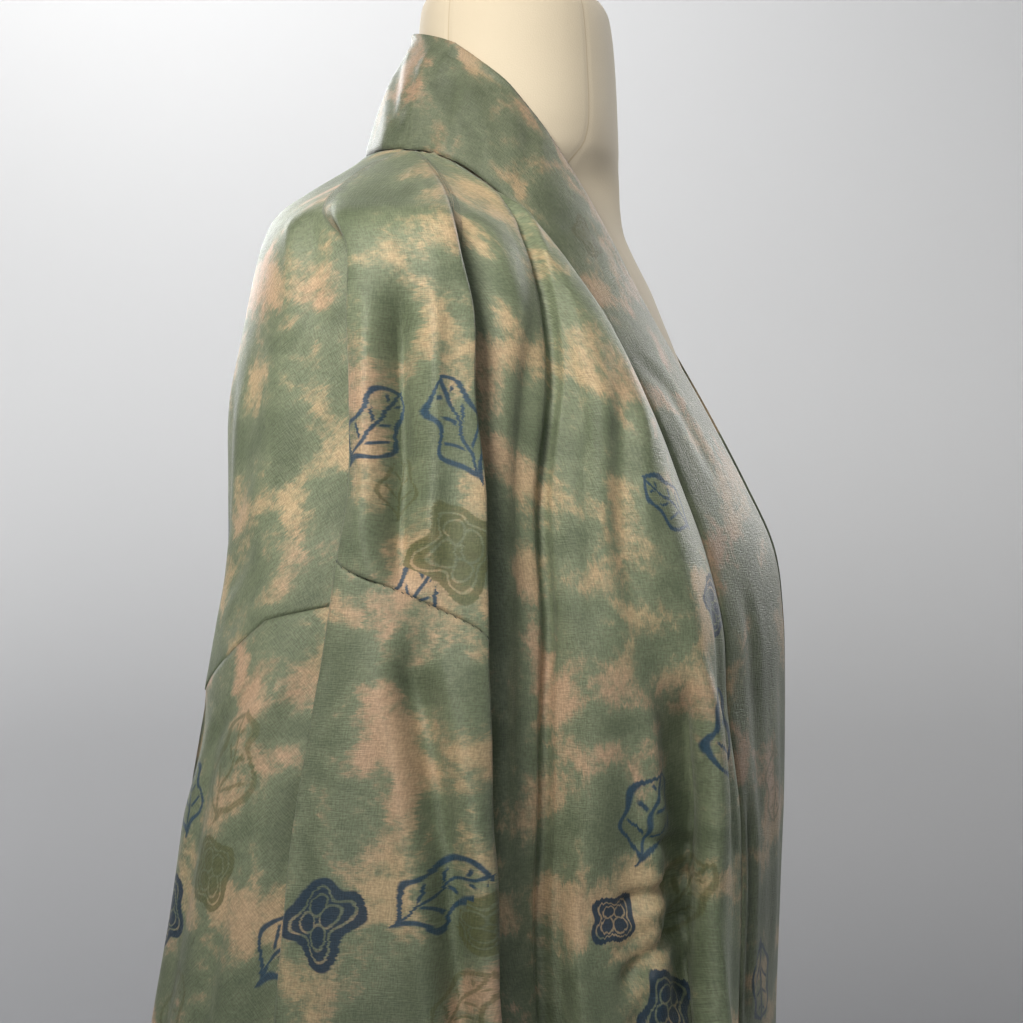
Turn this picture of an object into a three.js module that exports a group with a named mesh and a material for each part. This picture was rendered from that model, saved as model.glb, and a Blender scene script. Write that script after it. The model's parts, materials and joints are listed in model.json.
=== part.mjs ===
// A haori, the open kimono jacket, worn by a limbless dress form on a round stand.
// Millimetres, +Z up. The wearer faces -Y, and the wearer's right side is at -X.
// The origin is the centre of the stand's underside.

import * as THREE from 'three';

// Driving sizes of the cloth
const CLOTH_WALL = 1.2;
const COLLAR_WALL = 2.4;
const SEAM_GAP = 0.35;
const COLLAR_SEAM_GAP = 0.5;
const SLEEVE_SEAM_GAP = 1.0;
const ARMHOLE_END_GAP = 3;
const HEM_Z = 545;
const ARMHOLE_END_Z = 1060;
const FORM_CLEARANCE = 2.0;
const CLEARANCE_DROP = 2.0;
const SEAM_BLEND = 70;
const GUSSET_GAP = 0.6;

// Driving sizes of the form and its stand
const NECK_TOP_Z = 1437;
const NECK_TOP_TILT = 0.05;
const TORSO_BOTTOM_Z = 690;
const POLE_RADIUS = 13;
const BASE_RADIUS = 165;
const BASE_HEIGHT = 16;
const BASE_EDGE = 5;
const SEAT_GAP = 0.3;

const RIGHT = -1;
const LEFT = 1;

const CLOTH_LOOK = { color: 0x8c947a, roughness: 0.62, metalness: 0, side: THREE.DoubleSide };
const COLLAR_LOOK = { color: 0x848c72, roughness: 0.62, metalness: 0 };
const FORM_LOOK = { color: 0xdacdb2, roughness: 0.85, metalness: 0 };
const STEEL_LOOK = { color: 0x55565a, roughness: 0.35, metalness: 0.9 };
const BASE_LOOK = { color: 0x2f2f31, roughness: 0.5, metalness: 0.3 };

// Where the cloth passes, section by section, from the centre back round to the front edge.
// Each station is a distance out from the middle and a place front to back (+Y is back).
const BACK_STATIONS = ['centre', 'blade', 'corner'];
const BACK_ROWS = [
  // z, centre out and y, blade out and y, corner out and y
  [1342, 0, 81, 30, 77.5, 62, 61],
  [1328, 0, 87, 38, 86, 74, 78],
  [1314, 0, 95, 55, 96, 98, 90],
  [1300, 0, 102, 70, 106, 115, 103],
  [1288, 0, 108, 75, 113, 120, 109],
  [1270, 0, 112, 80, 117, 122, 114],
  [1240, 0, 115, 85, 121, 126, 119],
  [1200, 0, 118, 90, 124, 132, 125],
  [1160, 0, 120, 90, 126, 138, 124],
  [1126, 0, 122, 90, 128, 140, 124],
  [1090, 0, 123, 90, 130, 143, 128.5],
  [1060, 0, 125, 90, 131, 145, 133],
];

// The part that falls off the shoulder: a flat strip whose two edges overlap the cloth beside it.
const STRIP_STATIONS = ['backLeg', 'backTuck', 'backEdge', 'middle', 'frontEdge', 'frontTuck'];
const STRIP_ROWS = [
  // z, then out and y of each station
  [1338, 76, 46.5, 77, 46, 78, 45.2, 78.6, 44, 78.8, 42.6, 79, 41.4],
  [1328, 90, 64, 94, 59, 97, 52, 99, 42, 98, 33, 94, 30],
  [1314, 119, 72, 125, 66, 129, 58, 132, 40, 129, 21, 121, 18],
  [1300, 147, 78, 154, 69, 160, 60, 163, 34, 160, 11, 147, 9],
  [1288, 163, 82, 172, 64, 184, 57, 187, 28, 184, 3, 166, 6],
  [1270, 170, 84, 179, 46, 195, 50, 198, 24, 191, -3, 172, 7],
  [1240, 171, 86, 180, 35, 197, 50, 201, 20, 192, -10, 174, 5],
  [1200, 171, 88, 179, 31, 198, 49, 203, 18, 194, -11, 175, 4],
  [1160, 172, 90, 179, 30, 200, 49, 205, 16, 197, -16, 176, 2],
  [1126, 176, 92, 180, 31, 204, 53, 208, 17, 199, -17, 177, 1],
  [1090, 180, 94, 182, 33, 206, 58, 210, 20, 201, -18, 178, 1],
  [1050, 184, 98, 185, 38, 208, 65, 213, 23, 203, -19, 180, 1],
  [1000, 187, 104, 187, 42, 210, 73, 215, 27, 206, -19, 183, 2],
  [950, 190, 110, 190, 46, 213, 77, 217, 29, 208, -18, 187, 3],
  [900, 192, 116, 193, 49, 214, 81, 219, 30, 210, -21, 190, 3],
  [840, 195, 122, 196, 52, 216, 84, 221, 30, 212, -22, 193, 2],
  [740, 202, 130, 203, 58, 222, 90, 227, 31, 218, -24, 199, 2],
  [640, 212, 138, 212, 64, 232, 96, 237, 33, 227, -26, 208, 2],
];

const FRONT_STATIONS = ['roll', 'valley', 'side', 'bust', 'seam'];
const FRONT_ROWS = [
  // z, then out and y of each station
  [1337, 79.1, 40.2, 79.2, 39, 79.3, 38, 79.4, 37, 79.5, 36],
  [1328, 93, 26, 92.5, 21, 92, 18.5, 91, 16.5, 90, 15],
  [1314, 115, 12, 108, -1, 105, -4, 102, -4.5, 99, -4],
  [1300, 135, 1, 118, -15, 113, -20, 108, -22, 104, -20],
  [1288, 152, -10, 126, -23, 121, -30, 114, -33, 107, -29],
  [1270, 163, -19, 137, -31, 134, -41, 122, -47, 110, -43],
  [1240, 166, -27, 144, -39, 146, -54, 131, -67, 112, -62.5],
  [1200, 167, -26, 149, -41, 154, -58, 138, -84, 112, -86],
  [1160, 167, -24, 151, -38, 159, -58, 142, -94, 110, -102],
  [1126, 167, -24, 152, -38, 160, -60, 142, -102, 107, -114],
  [1090, 167, -24, 152, -39, 160, -62, 140, -108, 105, -122],
  [1050, 166, -24, 151, -38, 158, -62, 137, -110, 103, -124],
  [1000, 165, -22, 150, -38, 156, -60, 133, -110, 101, -130],
  [950, 164, -20, 148, -37, 152, -56, 129, -106, 99, -131],
  [860, 168, -24, 152, -42, 158, -64, 134, -114, 94, -129],
  [760, 178, -28, 160, -46, 167, -70, 142, -120, 89, -131],
  [650, 188, -32, 168, -50, 177, -74, 150, -126, 84, -134],
  [545, 196, -34, 175, -52, 185, -78, 156, -130, 80, -138],
];

// Below the armholes the panels end at their side edges, joined by the gusset.
const SIDE_STATIONS = ['centre', 'blade', 'backSide', 'frontSide'];
const SIDE_ROWS = [
  // z, centre, blade, back panel's side edge, front panel's side edge
  [1060, 0, 125, 90, 131, 145, 133, 178, 1],
  [1040, 0, 126, 88, 131, 147, 105, 166, 10],
  [1015, 0, 127, 87, 131, 150, 72, 159, 18],
  [990, 0, 128, 86, 131, 151, 52, 156, 22],
  [940, 0, 130, 86, 133, 152, 54, 157, 25],
  [860, 0, 134, 90, 138, 158, 58, 163, 25],
  [760, 0, 138, 96, 144, 170, 62, 176, 20],
  [650, 0, 143, 102, 150, 182, 66, 188, 12],
  [545, 0, 148, 108, 157, 191, 70, 198, 4],
];

// The hanging sleeve: the back fold, and the inner layer that closes the tube.
const SLEEVE_STATIONS = ['backFold', 'innerFront', 'innerBack'];
const SLEEVE_ROWS = [
  // z, back fold, inner layer near the front, inner layer near the back
  [1060, 145, 133, 168, 22, 161, 82],
  [1000, 148, 142.5, 171, 24, 162, 90],
  [950, 150, 149, 174, 26, 163, 96],
  [900, 152, 157, 177, 27, 165, 102],
  [840, 155, 165, 181, 28, 169, 108],
  [740, 164, 178, 190, 29, 180, 116],
  [640, 176, 190, 200, 30, 192, 124],
];

// Where the sleeve is sewn on, and how low its cuff hangs, at the sleeve's stations.
const SLEEVE_RING = ['backFold', 'backLeg', 'backTuck', 'backEdge', 'middle', 'frontEdge', 'frontTuck',
  'innerFront', 'innerBack'];
const SLEEVE_TOP_Z = [1060, 1096, 1112, 1126, 1110, 1090, 1060, 985, 980];
const CUFF_Z = [652, 700, 744, 758, 782, 798, 790, 768, 700];
const SLEEVE_STEPS = [3, 3, 3, 2, 2, 2, 2, 3, 3];
const SLEEVE_LEVELS = 10;

// How many strips of the mesh lie between one station and the next
const UPPER_RING = [...BACK_STATIONS, ...STRIP_STATIONS, ...FRONT_STATIONS];
const UPPER_STEPS = [5, 5, 3, 3, 3, 2, 2, 2, 2, 2, 2, 3, 3];
const STRIP_START = 2;
const STRIP_END = 8;
const ARMHOLE_STATIONS = 6;
const GUSSET_START = 2;
const RING_STEP = 0.02;
const UPPER_LEVELS = [0, 0.018, 0.045, 0.085, 0.13, 0.175, 0.22, 0.28, 0.36, 0.46, 0.57, 0.68, 0.79, 0.9, 1];
const LOWER_LEVELS = [1040, 1015, 990, 940, 895, 850, 800, 745, 690, 635, 590, HEM_Z];
const GUSSET_LEVELS = [1003, ...LOWER_LEVELS.slice(2)];
const GUSSET_ACROSS = 3;
const NECKLINE_Z = [1343, 1343, 1340.5, 1338.6, 1338.4, 1338.2, 1338, 1337.8, 1337.6, 1337.5, 1337.4,
  1337.3, 1337.2, 1337];

// The collar: where its seam runs (counted along the neckline, then down the front) and its free edge
const COLLAR_ROWS = [
  // neckline station or 13 plus decimetres below the neck point, free edge out, y and z
  [0, 0, 54, 1414],
  [1, 25, 48, 1411],
  [2, 44, 34, 1404.5],
  [3, 51, 22, 1399],
  [13, 55, 12, 1391],
  [13.09, 59, -6, 1376],
  [13.23, 61.5, -24, 1355],
  [13.37, 62, -38, 1334],
  [13.49, 62, -49, 1316],
  [13.67, 61.5, -62, 1292],
  [13.97, 59, -81, 1255],
  [14.37, 51, -108, 1207],
  [14.77, 45, -131, 1163],
  [15.11, 41, -146.5, 1128],
  [15.47, 38.5, -151.5, 1091],
  [15.87, 37, -152.5, 1051],
  [16.37, 35.5, -152, 1001],
  [16.87, 33.5, -150, 951],
  [17.87, 31, -147, 851],
  [19.37, 28, -149, 701],
  [20.92, 26, -151, 546],
];
const COLLAR_STOPS = [0, 0.5, 1, 1.5, 2, 2.5, 3, 13, 13.05, 13.12, 13.23, 13.37, 13.49, 13.67,
  13.82, 13.97, 14.17, 14.37, 14.57, 14.77, 14.94, 15.11, 15.47, 15.87, 16.37, 16.87, 17.37,
  17.87, 18.6, 19.37, 20.15, 20.92];
const COLLAR_ACROSS = 4;
const COLLAR_BULGE = 3.5;
const NECK_POINT_Z = 1337;
const NECK_POINT = 13;
const DECIMETRE = 100;
const SEAM_STEP = 0.04;

// The largest loose folds: where they start and end round the ring and up the cloth.
// A fold with a negative depth stands out.
const FOLDS = [
  // side, ring station from, z from, ring station to, z to, depth, half width in stations, fade
  [RIGHT, 6.4, 1230, 6.3, 1095, 5, 0.33, 36],
  [RIGHT, 11.4, 1150, 11.5, 1010, 4, 0.3, 45],
  [RIGHT, 11.75, 1060, 12.0, 950, 7, 0.25, 40],
  [RIGHT, 0.46, 1060, 0.44, 500, 10, 0.19, 80],
  [RIGHT, 0.85, 1100, 0.8, 500, -8, 0.2, 80],
  [RIGHT, 1.2, 1160, 1.2, 500, 11, 0.17, 70],
  [RIGHT, 1.42, 1000, 1.42, 500, -6, 0.15, 90],
  [RIGHT, 1.62, 900, 1.62, 500, 7, 0.14, 90],
  [RIGHT, 10.98, 900, 11.0, 500, -7, 0.3, 100],
  [RIGHT, 11.5, 860, 11.55, 500, 11, 0.25, 100],
  [RIGHT, 12.15, 880, 12.2, 500, -6, 0.22, 90],
  [LEFT, 6.5, 1225, 6.4, 1095, 5, 0.35, 40],
  [LEFT, 11.2, 1140, 11.6, 990, 5, 0.3, 45],
  [LEFT, 11.9, 1050, 11.8, 930, 6, 0.25, 40],
  [LEFT, 0.44, 1040, 0.46, 500, 9, 0.19, 80],
  [LEFT, 0.8, 1110, 0.84, 500, -9, 0.2, 80],
  [LEFT, 1.2, 1150, 1.22, 500, 11, 0.17, 70],
  [LEFT, 1.44, 980, 1.44, 500, -6, 0.15, 90],
  [LEFT, 1.64, 880, 1.62, 500, 6, 0.13, 90],
  [LEFT, 11.05, 880, 11.0, 500, -8, 0.3, 100],
  [LEFT, 11.55, 900, 11.5, 500, 10, 0.25, 100],
  [LEFT, 12.2, 840, 12.15, 500, -6, 0.22, 90],
];

// The dress form, ring by ring
const FORM_RINGS = [
  // z, half width, widest place's y, front y, back y, roundness
  [690, 146, 8, -90, 102, 2.1],
  [696, 152, 8, -95, 107, 2.1],
  [720, 158, 8, -98, 110, 2.1],
  [790, 164, 8, -104, 116, 2.1],
  [860, 148, 6, -98, 108, 2.1],
  [945, 115, 4, -84, 86, 2.1],
  [1020, 124, 6, -98, 90, 2.1],
  [1100, 140, 8, -121, 98, 2.0],
  [1130, 142, 10, -122, 101, 2.0],
  [1180, 146, 12, -113, 105, 1.9],
  [1220, 156, 16, -98, 105, 1.7],
  [1250, 172, 20, -86, 102, 1.5],
  [1270, 178, 24, -78, 97, 1.35],
  [1280, 181, 26, -73, 93, 1.25],
  [1290, 175, 28, -68, 88, 1.2],
  [1302, 152, 31, -63, 82, 1.15],
  [1316, 121, 34, -61, 74, 1.15],
  [1328, 91, 32, -60.5, 66, 1.25],
  [1338, 74, 20, -60, 58, 1.5],
  [1348, 61, 6, -60, 54, 1.85],
  [1362, 57.5, -2, -59.5, 53, 2],
  [1395, 56, -2, -58, 52, 2],
  [1420, 54.5, -2, -55.5, 51, 2],
  [1430, 51, -2, -52, 48, 2],
  [1435, 44, -2, -45, 41, 2],
  [1437, 30, -2, -31, 27, 2],
];
const FORM_SIDES = 40;

// A smooth curve through unevenly spaced rows: the value of one column at a given place
function smoothColumn(rows, column, place) {
  const rising = rows[rows.length - 1][0] > rows[0][0];
  const order = rising ? 1 : -1;
  const last = rows.length - 2;
  let i = 0;
  while (i < last && order * place > order * rows[i + 1][0]) i += 1;
  const [before, start, end, after] = [rows[Math.max(i - 1, 0)], rows[i], rows[i + 1],
    rows[Math.min(i + 2, rows.length - 1)]];
  const span = end[0] - start[0];
  const share = THREE.MathUtils.clamp((place - start[0]) / span, 0, 1);
  const startSlope = (end[column] - before[column]) / (end[0] - before[0]);
  const endSlope = (after[column] - start[column]) / (after[0] - start[0]);
  return hermite(start[column], end[column], startSlope * span, endSlope * span, share);
}

function hermite(start, end, startSlope, endSlope, share) {
  const square = share * share;
  const cube = square * share;
  return (2 * cube - 3 * square + 1) * start + (cube - 2 * square + share) * startSlope
    + (3 * square - 2 * cube) * end + (cube - square) * endSlope;
}

// The named stations of one table at a height, as { name: { out, y } }
function stationsAt(names, rows, z) {
  const found = {};
  names.forEach((name, i) => {
    found[name] = { out: smoothColumn(rows, 1 + 2 * i, z), y: smoothColumn(rows, 2 + 2 * i, z) };
  });
  return found;
}

// A smooth plan curve through stations, closed or open, at a place counted in stations
function alongRing(points, place, closed) {
  const count = points.length;
  const last = closed ? count - 1 : count - 2;
  const i = Math.min(Math.floor(place), last);
  const share = place - i;
  const at = (k) => (closed ? points[(k + count) % count] : points[THREE.MathUtils.clamp(k, 0, count - 1)]);
  const [before, start, end, after] = [at(i - 1), at(i), at(i + 1), at(i + 2)];
  const spacing = (a, b) => Math.sqrt(Math.hypot(a.out - b.out, a.y - b.y)) + 1e-6;
  const [gapBefore, gap, gapAfter] = [spacing(before, start), spacing(start, end), spacing(end, after)];
  const value = (key) => {
    const startSlope = gap * slopeThrough(before[key], start[key], end[key], gapBefore, gap);
    const endSlope = gap * slopeThrough(start[key], end[key], after[key], gap, gapAfter);
    return hermite(start[key], end[key], startSlope, endSlope, share);
  };
  return { out: value('out'), y: value('y') };
}

// The slope at the middle of three unevenly spaced values; at an open end it is the end's own chord
function slopeThrough(before, here, after, gapBefore, gapAfter) {
  if (gapBefore < 1e-5) return (after - here) / gapAfter;
  if (gapAfter < 1e-5) return (here - before) / gapBefore;
  return (here - before) / gapBefore - (after - before) / (gapBefore + gapAfter) + (after - here) / gapAfter;
}

// The places round a ring at which the mesh has its lines
function ringPlaces(steps, closed) {
  const places = [];
  steps.forEach((count, i) => {
    for (let k = 0; k < count; k += 1) places.push(i + k / count);
  });
  if (!closed) places.push(steps.length);
  return places;
}

function lerpList(values, place, closed = false) {
  const i = Math.min(Math.floor(place), closed ? values.length - 1 : values.length - 2);
  const next = values[(i + 1) % values.length];
  return THREE.MathUtils.lerp(values[i], next, place - i);
}

// How far the loose folds push the cloth in at one place
function foldDepth(side, place, z) {
  let depth = 0;
  FOLDS.forEach(([foldSide, fromPlace, fromZ, toPlace, toZ, foldDeep, halfWidth, fade]) => {
    if (foldSide !== side) return;
    const along = THREE.MathUtils.clamp((fromZ - z) / (fromZ - toZ), 0, 1);
    const across = (place - THREE.MathUtils.lerp(fromPlace, toPlace, along)) / halfWidth;
    const beyond = Math.max(z - fromZ, toZ - z, 0) / fade;
    depth += foldDeep * Math.exp(-across * across - beyond * beyond);
  });
  return depth;
}

// Moves a point of the cloth out where it would come too near the dress form
function clearOfForm(point, wall = CLOTH_WALL) {
  const z = Math.min(point.z - CLEARANCE_DROP, NECK_TOP_Z - 1);
  if (z < TORSO_BOTTOM_Z) return point;
  const section = [1, 2, 3, 4, 5].map((column) => smoothColumn(FORM_RINGS, column, z));
  const [halfWidth, tipY, frontY, backY, roundness] = section;
  const reach = point.y < tipY ? tipY - frontY : backY - tipY;
  const across = Math.abs(point.x) / halfWidth;
  const deep = Math.abs(point.y - tipY) / reach;
  const share = (across ** roundness + deep ** roundness) ** (1 / roundness);
  const distance = Math.hypot(point.x, point.y - tipY);
  const needed = 1 + (wall + FORM_CLEARANCE) / (distance / share);
  if (share < needed) {
    point.x *= needed / share;
    point.y = tipY + (point.y - tipY) * needed / share;
  }
  return point;
}

// A point of the body's cloth above the armhole's end
function upperBodyPoint(side, place, z) {
  const stations = {
    ...stationsAt(BACK_STATIONS, BACK_ROWS, z),
    ...stationsAt(STRIP_STATIONS, STRIP_ROWS, z),
    ...stationsAt(FRONT_STATIONS, FRONT_ROWS, z),
  };
  return foldedPoint(side, UPPER_RING.map((name) => stations[name]), place, place, z, false);
}

// A point of the body's cloth below the armhole's end: the place is still counted on the upper ring
function lowerBodyPoint(side, place, z) {
  const skipped = STRIP_END - GUSSET_START - 1;
  return lowerRingPoint(side, place <= STRIP_START ? place : place - skipped, place, z);
}

// The lower ring runs on from the back panel over the gusset, at 2 to 3, to the front panel
function lowerRingPoint(side, ringPlace, foldPlace, z) {
  const sides = stationsAt(SIDE_STATIONS, SIDE_ROWS, z);
  const front = stationsAt(FRONT_STATIONS, FRONT_ROWS, z);
  const points = [...SIDE_STATIONS.map((name) => sides[name]), ...FRONT_STATIONS.map((name) => front[name])];
  return foldedPoint(side, points, ringPlace, foldPlace, z, false);
}

function foldedPoint(side, points, ringPlace, foldPlace, z, closed) {
  const here = alongRing(points, ringPlace, closed);
  const limit = closed ? points.length : points.length - 1;
  const a = alongRing(points, Math.max(ringPlace - RING_STEP, 0), closed);
  const b = alongRing(points, Math.min(ringPlace + RING_STEP, limit - 1e-6), closed);
  const length = Math.hypot(b.out - a.out, b.y - a.y) || 1;
  const depth = foldDepth(side, foldPlace, z);
  const out = here.out + (b.y - a.y) / length * depth;
  const y = here.y - (b.out - a.out) / length * depth;
  return new THREE.Vector3(side * out, y, z);
}

function sleeveSeamZ(place) {
  return lerpList(SLEEVE_TOP_Z, place - STRIP_START, true);
}

// The neckline and front edge of one side, at a place counted as the collar's table counts it
function collarSeam(side, place) {
  if (place > NECK_POINT) return frontEdgePoint(side, NECK_POINT_Z - (place - NECK_POINT) * DECIMETRE);
  return clearOfForm(upperBodyPoint(side, place, lerpList(NECKLINE_Z, place)));
}

function frontEdgePoint(side, z) {
  const height = Math.max(z, HEM_Z);
  const edge = stationsAt(FRONT_STATIONS, FRONT_ROWS, height).seam;
  return clearOfForm(new THREE.Vector3(side * edge.out, edge.y, height));
}

// A closed wall made from the sheet of its outer points: the inner points lie one wall further in
function wallFromSheet(points, faces, wall) {
  const normals = points.map(() => new THREE.Vector3());
  faces.forEach((face) => {
    const [a, b, c, d] = face.map((i) => points[i]);
    const normal = new THREE.Vector3().crossVectors(c.clone().sub(a), d.clone().sub(b));
    face.forEach((i) => normals[i].add(normal));
  });
  const count = points.length;
  const positions = [];
  points.forEach((p) => positions.push(p.x, p.y, p.z));
  points.forEach((p, i) => {
    const inner = p.clone().addScaledVector(normals[i].normalize(), -wall);
    positions.push(inner.x, inner.y, inner.z);
  });
  const edges = new Map();
  const triangles = [];
  const addFace = (a, b, c, d) => triangles.push(a, b, c, a, c, d);
  faces.forEach(([a, b, c, d]) => {
    addFace(a, b, c, d);
    addFace(a + count, d + count, c + count, b + count);
    [[a, b], [b, c], [c, d], [d, a]].forEach(([from, to]) => {
      if (edges.has(`${to},${from}`)) edges.delete(`${to},${from}`);
      else edges.set(`${from},${to}`, [from, to]);
    });
  });
  edges.forEach(([from, to]) => addFace(to, from, from + count, to + count));
  return solidGeometry(positions, triangles);
}

function solidGeometry(positions, triangles) {
  const geometry = new THREE.BufferGeometry();
  geometry.setAttribute('position', new THREE.Float32BufferAttribute(positions, 3));
  geometry.setIndex(triangles);
  geometry.computeVertexNormals();
  return geometry;
}

// Faces of a sheet on the right side run the other way round from those on the left
function facing(side, face) {
  return side === RIGHT ? face : [face[0], face[3], face[2], face[1]];
}

// One body panel: from the back hem over the shoulder to the front hem, with its armhole edge
function bodyPanel(side) {
  const places = ringPlaces(UPPER_STEPS, false);
  const points = [];
  const index = new Map();
  const add = (column, level, point) => {
    index.set(`${column},${level}`, points.length);
    points.push(point);
  };
  const lastLevel = UPPER_LEVELS.length - 1;
  places.forEach((place, column) => {
    const top = lerpList(NECKLINE_Z, place);
    const onStrip = place > STRIP_START && place < STRIP_END;
    const bottom = onStrip ? sleeveSeamZ(place) : ARMHOLE_END_Z;
    const inset = place === 0 ? SEAM_GAP / 2 : 0;
    UPPER_LEVELS.forEach((share, level) => {
      const point = clearOfForm(upperBodyPoint(side, place, THREE.MathUtils.lerp(top, bottom, share)));
      point.x += side * inset;
      add(column, level, point);
    });
    if (onStrip) return;
    LOWER_LEVELS.forEach((z, k) => {
      const point = clearOfForm(lowerBodyPoint(side, place, z));
      point.x += side * inset;
      add(column, lastLevel + 1 + k, point);
    });
  });
  const faces = [];
  const levels = lastLevel + LOWER_LEVELS.length;
  for (let column = 0; column < places.length - 1; column += 1) {
    for (let level = 0; level < levels; level += 1) {
      const corners = [[column, level], [column, level + 1], [column + 1, level + 1], [column + 1, level]];
      const face = corners.map(([c, l]) => index.get(`${c},${l}`));
      if (face.every((i) => i !== undefined)) faces.push(facing(side, face));
    }
  }
  return wallFromSheet(points, faces, CLOTH_WALL);
}

function sleevePoint(side, place, z) {
  const stations = {
    ...stationsAt(STRIP_STATIONS, STRIP_ROWS, z),
    ...stationsAt(SLEEVE_STATIONS, SLEEVE_ROWS, z),
  };
  const points = SLEEVE_RING.map((name) => stations[name]);
  return foldedPoint(side, points, place, place + STRIP_START, z, true);
}

// One sleeve: a tube that hangs from the armhole edge, open at the cuff and above its inner layer
function sleeve(side) {
  const places = ringPlaces(SLEEVE_STEPS, true);
  const points = [];
  places.forEach((place) => {
    const gap = place === 0 || place === ARMHOLE_STATIONS ? ARMHOLE_END_GAP : SLEEVE_SEAM_GAP;
    const top = lerpList(SLEEVE_TOP_Z, place, true) - gap;
    const bottom = lerpList(CUFF_Z, place, true);
    for (let level = 0; level <= SLEEVE_LEVELS; level += 1) {
      const z = THREE.MathUtils.lerp(top, bottom, level / SLEEVE_LEVELS);
      const point = sleevePoint(side, place, z);
      const belowSeam = THREE.MathUtils.smoothstep((top - z) / SEAM_BLEND, 0, 1);
      if (place <= ARMHOLE_STATIONS) {
        point.lerp(clearOfForm(upperBodyPoint(side, place + STRIP_START, z)), 1 - belowSeam);
      }
      points.push(point);
    }
  });
  const rows = SLEEVE_LEVELS + 1;
  const faces = [];
  places.forEach((place, column) => {
    const next = (column + 1) % places.length;
    for (let level = 0; level < SLEEVE_LEVELS; level += 1) {
      const here = column * rows + level;
      const beside = next * rows + level;
      faces.push(facing(side, [here, here + 1, beside + 1, beside]));
    }
  });
  return wallFromSheet(points, faces, CLOTH_WALL);
}

// The wedge under the arm, between the side edges of the back and front panels
function gusset(side) {
  const [start, end] = [GUSSET_START, GUSSET_START + 1];
  const points = [];
  GUSSET_LEVELS.forEach((z) => {
    const width = lowerRingPoint(side, start, start, z).distanceTo(lowerRingPoint(side, end, end, z));
    const inset = GUSSET_GAP / width;
    for (let k = 0; k <= GUSSET_ACROSS; k += 1) {
      const share = THREE.MathUtils.lerp(inset, 1 - inset, k / GUSSET_ACROSS);
      points.push(clearOfForm(lowerRingPoint(side, start + share, start + share, z)));
    }
  });
  const rows = GUSSET_ACROSS + 1;
  const faces = [];
  for (let level = 0; level < GUSSET_LEVELS.length - 1; level += 1) {
    for (let k = 0; k < GUSSET_ACROSS; k += 1) {
      const a = level * rows + k;
      faces.push(facing(side, [a, a + rows, a + rows + 1, a + 1]));
    }
  }
  return wallFromSheet(points, faces, CLOTH_WALL);
}

// The collar band: one doubled strip, from the left hem round the nape to the right hem
function collarBand() {
  const points = [];
  const stops = [...COLLAR_STOPS.slice(1).reverse().map((stop) => [LEFT, stop]),
    ...COLLAR_STOPS.map((stop) => [RIGHT, stop])];
  stops.forEach(([side, stop]) => {
    const seam = collarSeam(side, stop);
    const [out, y, z] = [1, 2, 3].map((column) => smoothColumn(COLLAR_ROWS, column, stop));
    const edge = new THREE.Vector3(side * out, y, Math.max(z, HEM_Z));
    const across = edge.clone().sub(seam);
    const before = collarSeam(side, Math.max(stop - SEAM_STEP, 0));
    const after = collarSeam(side, stop + SEAM_STEP);
    const bulge = new THREE.Vector3().crossVectors(after.sub(before), across);
    bulge.multiplyScalar(side).normalize();
    seam.addScaledVector(across.clone().normalize(), COLLAR_SEAM_GAP);
    for (let k = 0; k <= COLLAR_ACROSS; k += 1) {
      const share = k / COLLAR_ACROSS;
      const point = seam.clone().lerp(edge, share);
      point.addScaledVector(bulge, -COLLAR_BULGE * Math.sin(Math.PI * share));
      points.push(share > 0 ? clearOfForm(point, COLLAR_WALL) : point);
    }
  });
  const rows = COLLAR_ACROSS + 1;
  const faces = [];
  for (let i = 0; i < stops.length - 1; i += 1) {
    for (let k = 0; k < COLLAR_ACROSS; k += 1) {
      const a = i * rows + k;
      faces.push([a, a + rows, a + rows + 1, a + 1]);
    }
  }
  return wallFromSheet(points, faces, COLLAR_WALL);
}

// The padded torso with its neck, closed top and bottom
function dressForm() {
  const positions = [];
  FORM_RINGS.forEach(([z, halfWidth, tipY, frontY, backY, roundness]) => {
    for (let k = 0; k < FORM_SIDES; k += 1) {
      const angle = 2 * Math.PI * k / FORM_SIDES;
      const across = Math.sign(Math.cos(angle)) * Math.abs(Math.cos(angle)) ** (2 / roundness);
      const deep = Math.sign(Math.sin(angle)) * Math.abs(Math.sin(angle)) ** (2 / roundness);
      const y = tipY + deep * (deep < 0 ? tipY - frontY : backY - tipY);
      const tilt = z > NECK_POINT_Z ? NECK_TOP_TILT * (y - tipY) * (z - NECK_POINT_Z) / DECIMETRE : 0;
      positions.push(halfWidth * across, y, z + tilt);
    }
  });
  const rings = FORM_RINGS.length;
  const bottom = positions.length / 3;
  positions.push(0, FORM_RINGS[0][2], TORSO_BOTTOM_Z);
  positions.push(0, FORM_RINGS[rings - 1][2], NECK_TOP_Z);
  const triangles = [];
  for (let k = 0; k < FORM_SIDES; k += 1) {
    const next = (k + 1) % FORM_SIDES;
    for (let ring = 0; ring < rings - 1; ring += 1) {
      const [a, b] = [ring * FORM_SIDES + k, ring * FORM_SIDES + next];
      triangles.push(a, b, b + FORM_SIDES, a, b + FORM_SIDES, a + FORM_SIDES);
    }
    triangles.push(bottom, next, k);
    const top = (rings - 1) * FORM_SIDES;
    triangles.push(bottom + 1, top + k, top + next);
  }
  return solidGeometry(positions, triangles);
}

function turned(profile, sides) {
  const geometry = new THREE.LatheGeometry(profile.map(([r, z]) => new THREE.Vector2(r, z)), sides);
  geometry.rotateX(Math.PI / 2);
  return geometry;
}

function pole() {
  const bottom = BASE_HEIGHT + SEAT_GAP;
  const top = TORSO_BOTTOM_Z - SEAT_GAP;
  return turned([[0, bottom], [POLE_RADIUS, bottom], [POLE_RADIUS, top], [0, top]], 24);
}

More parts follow.
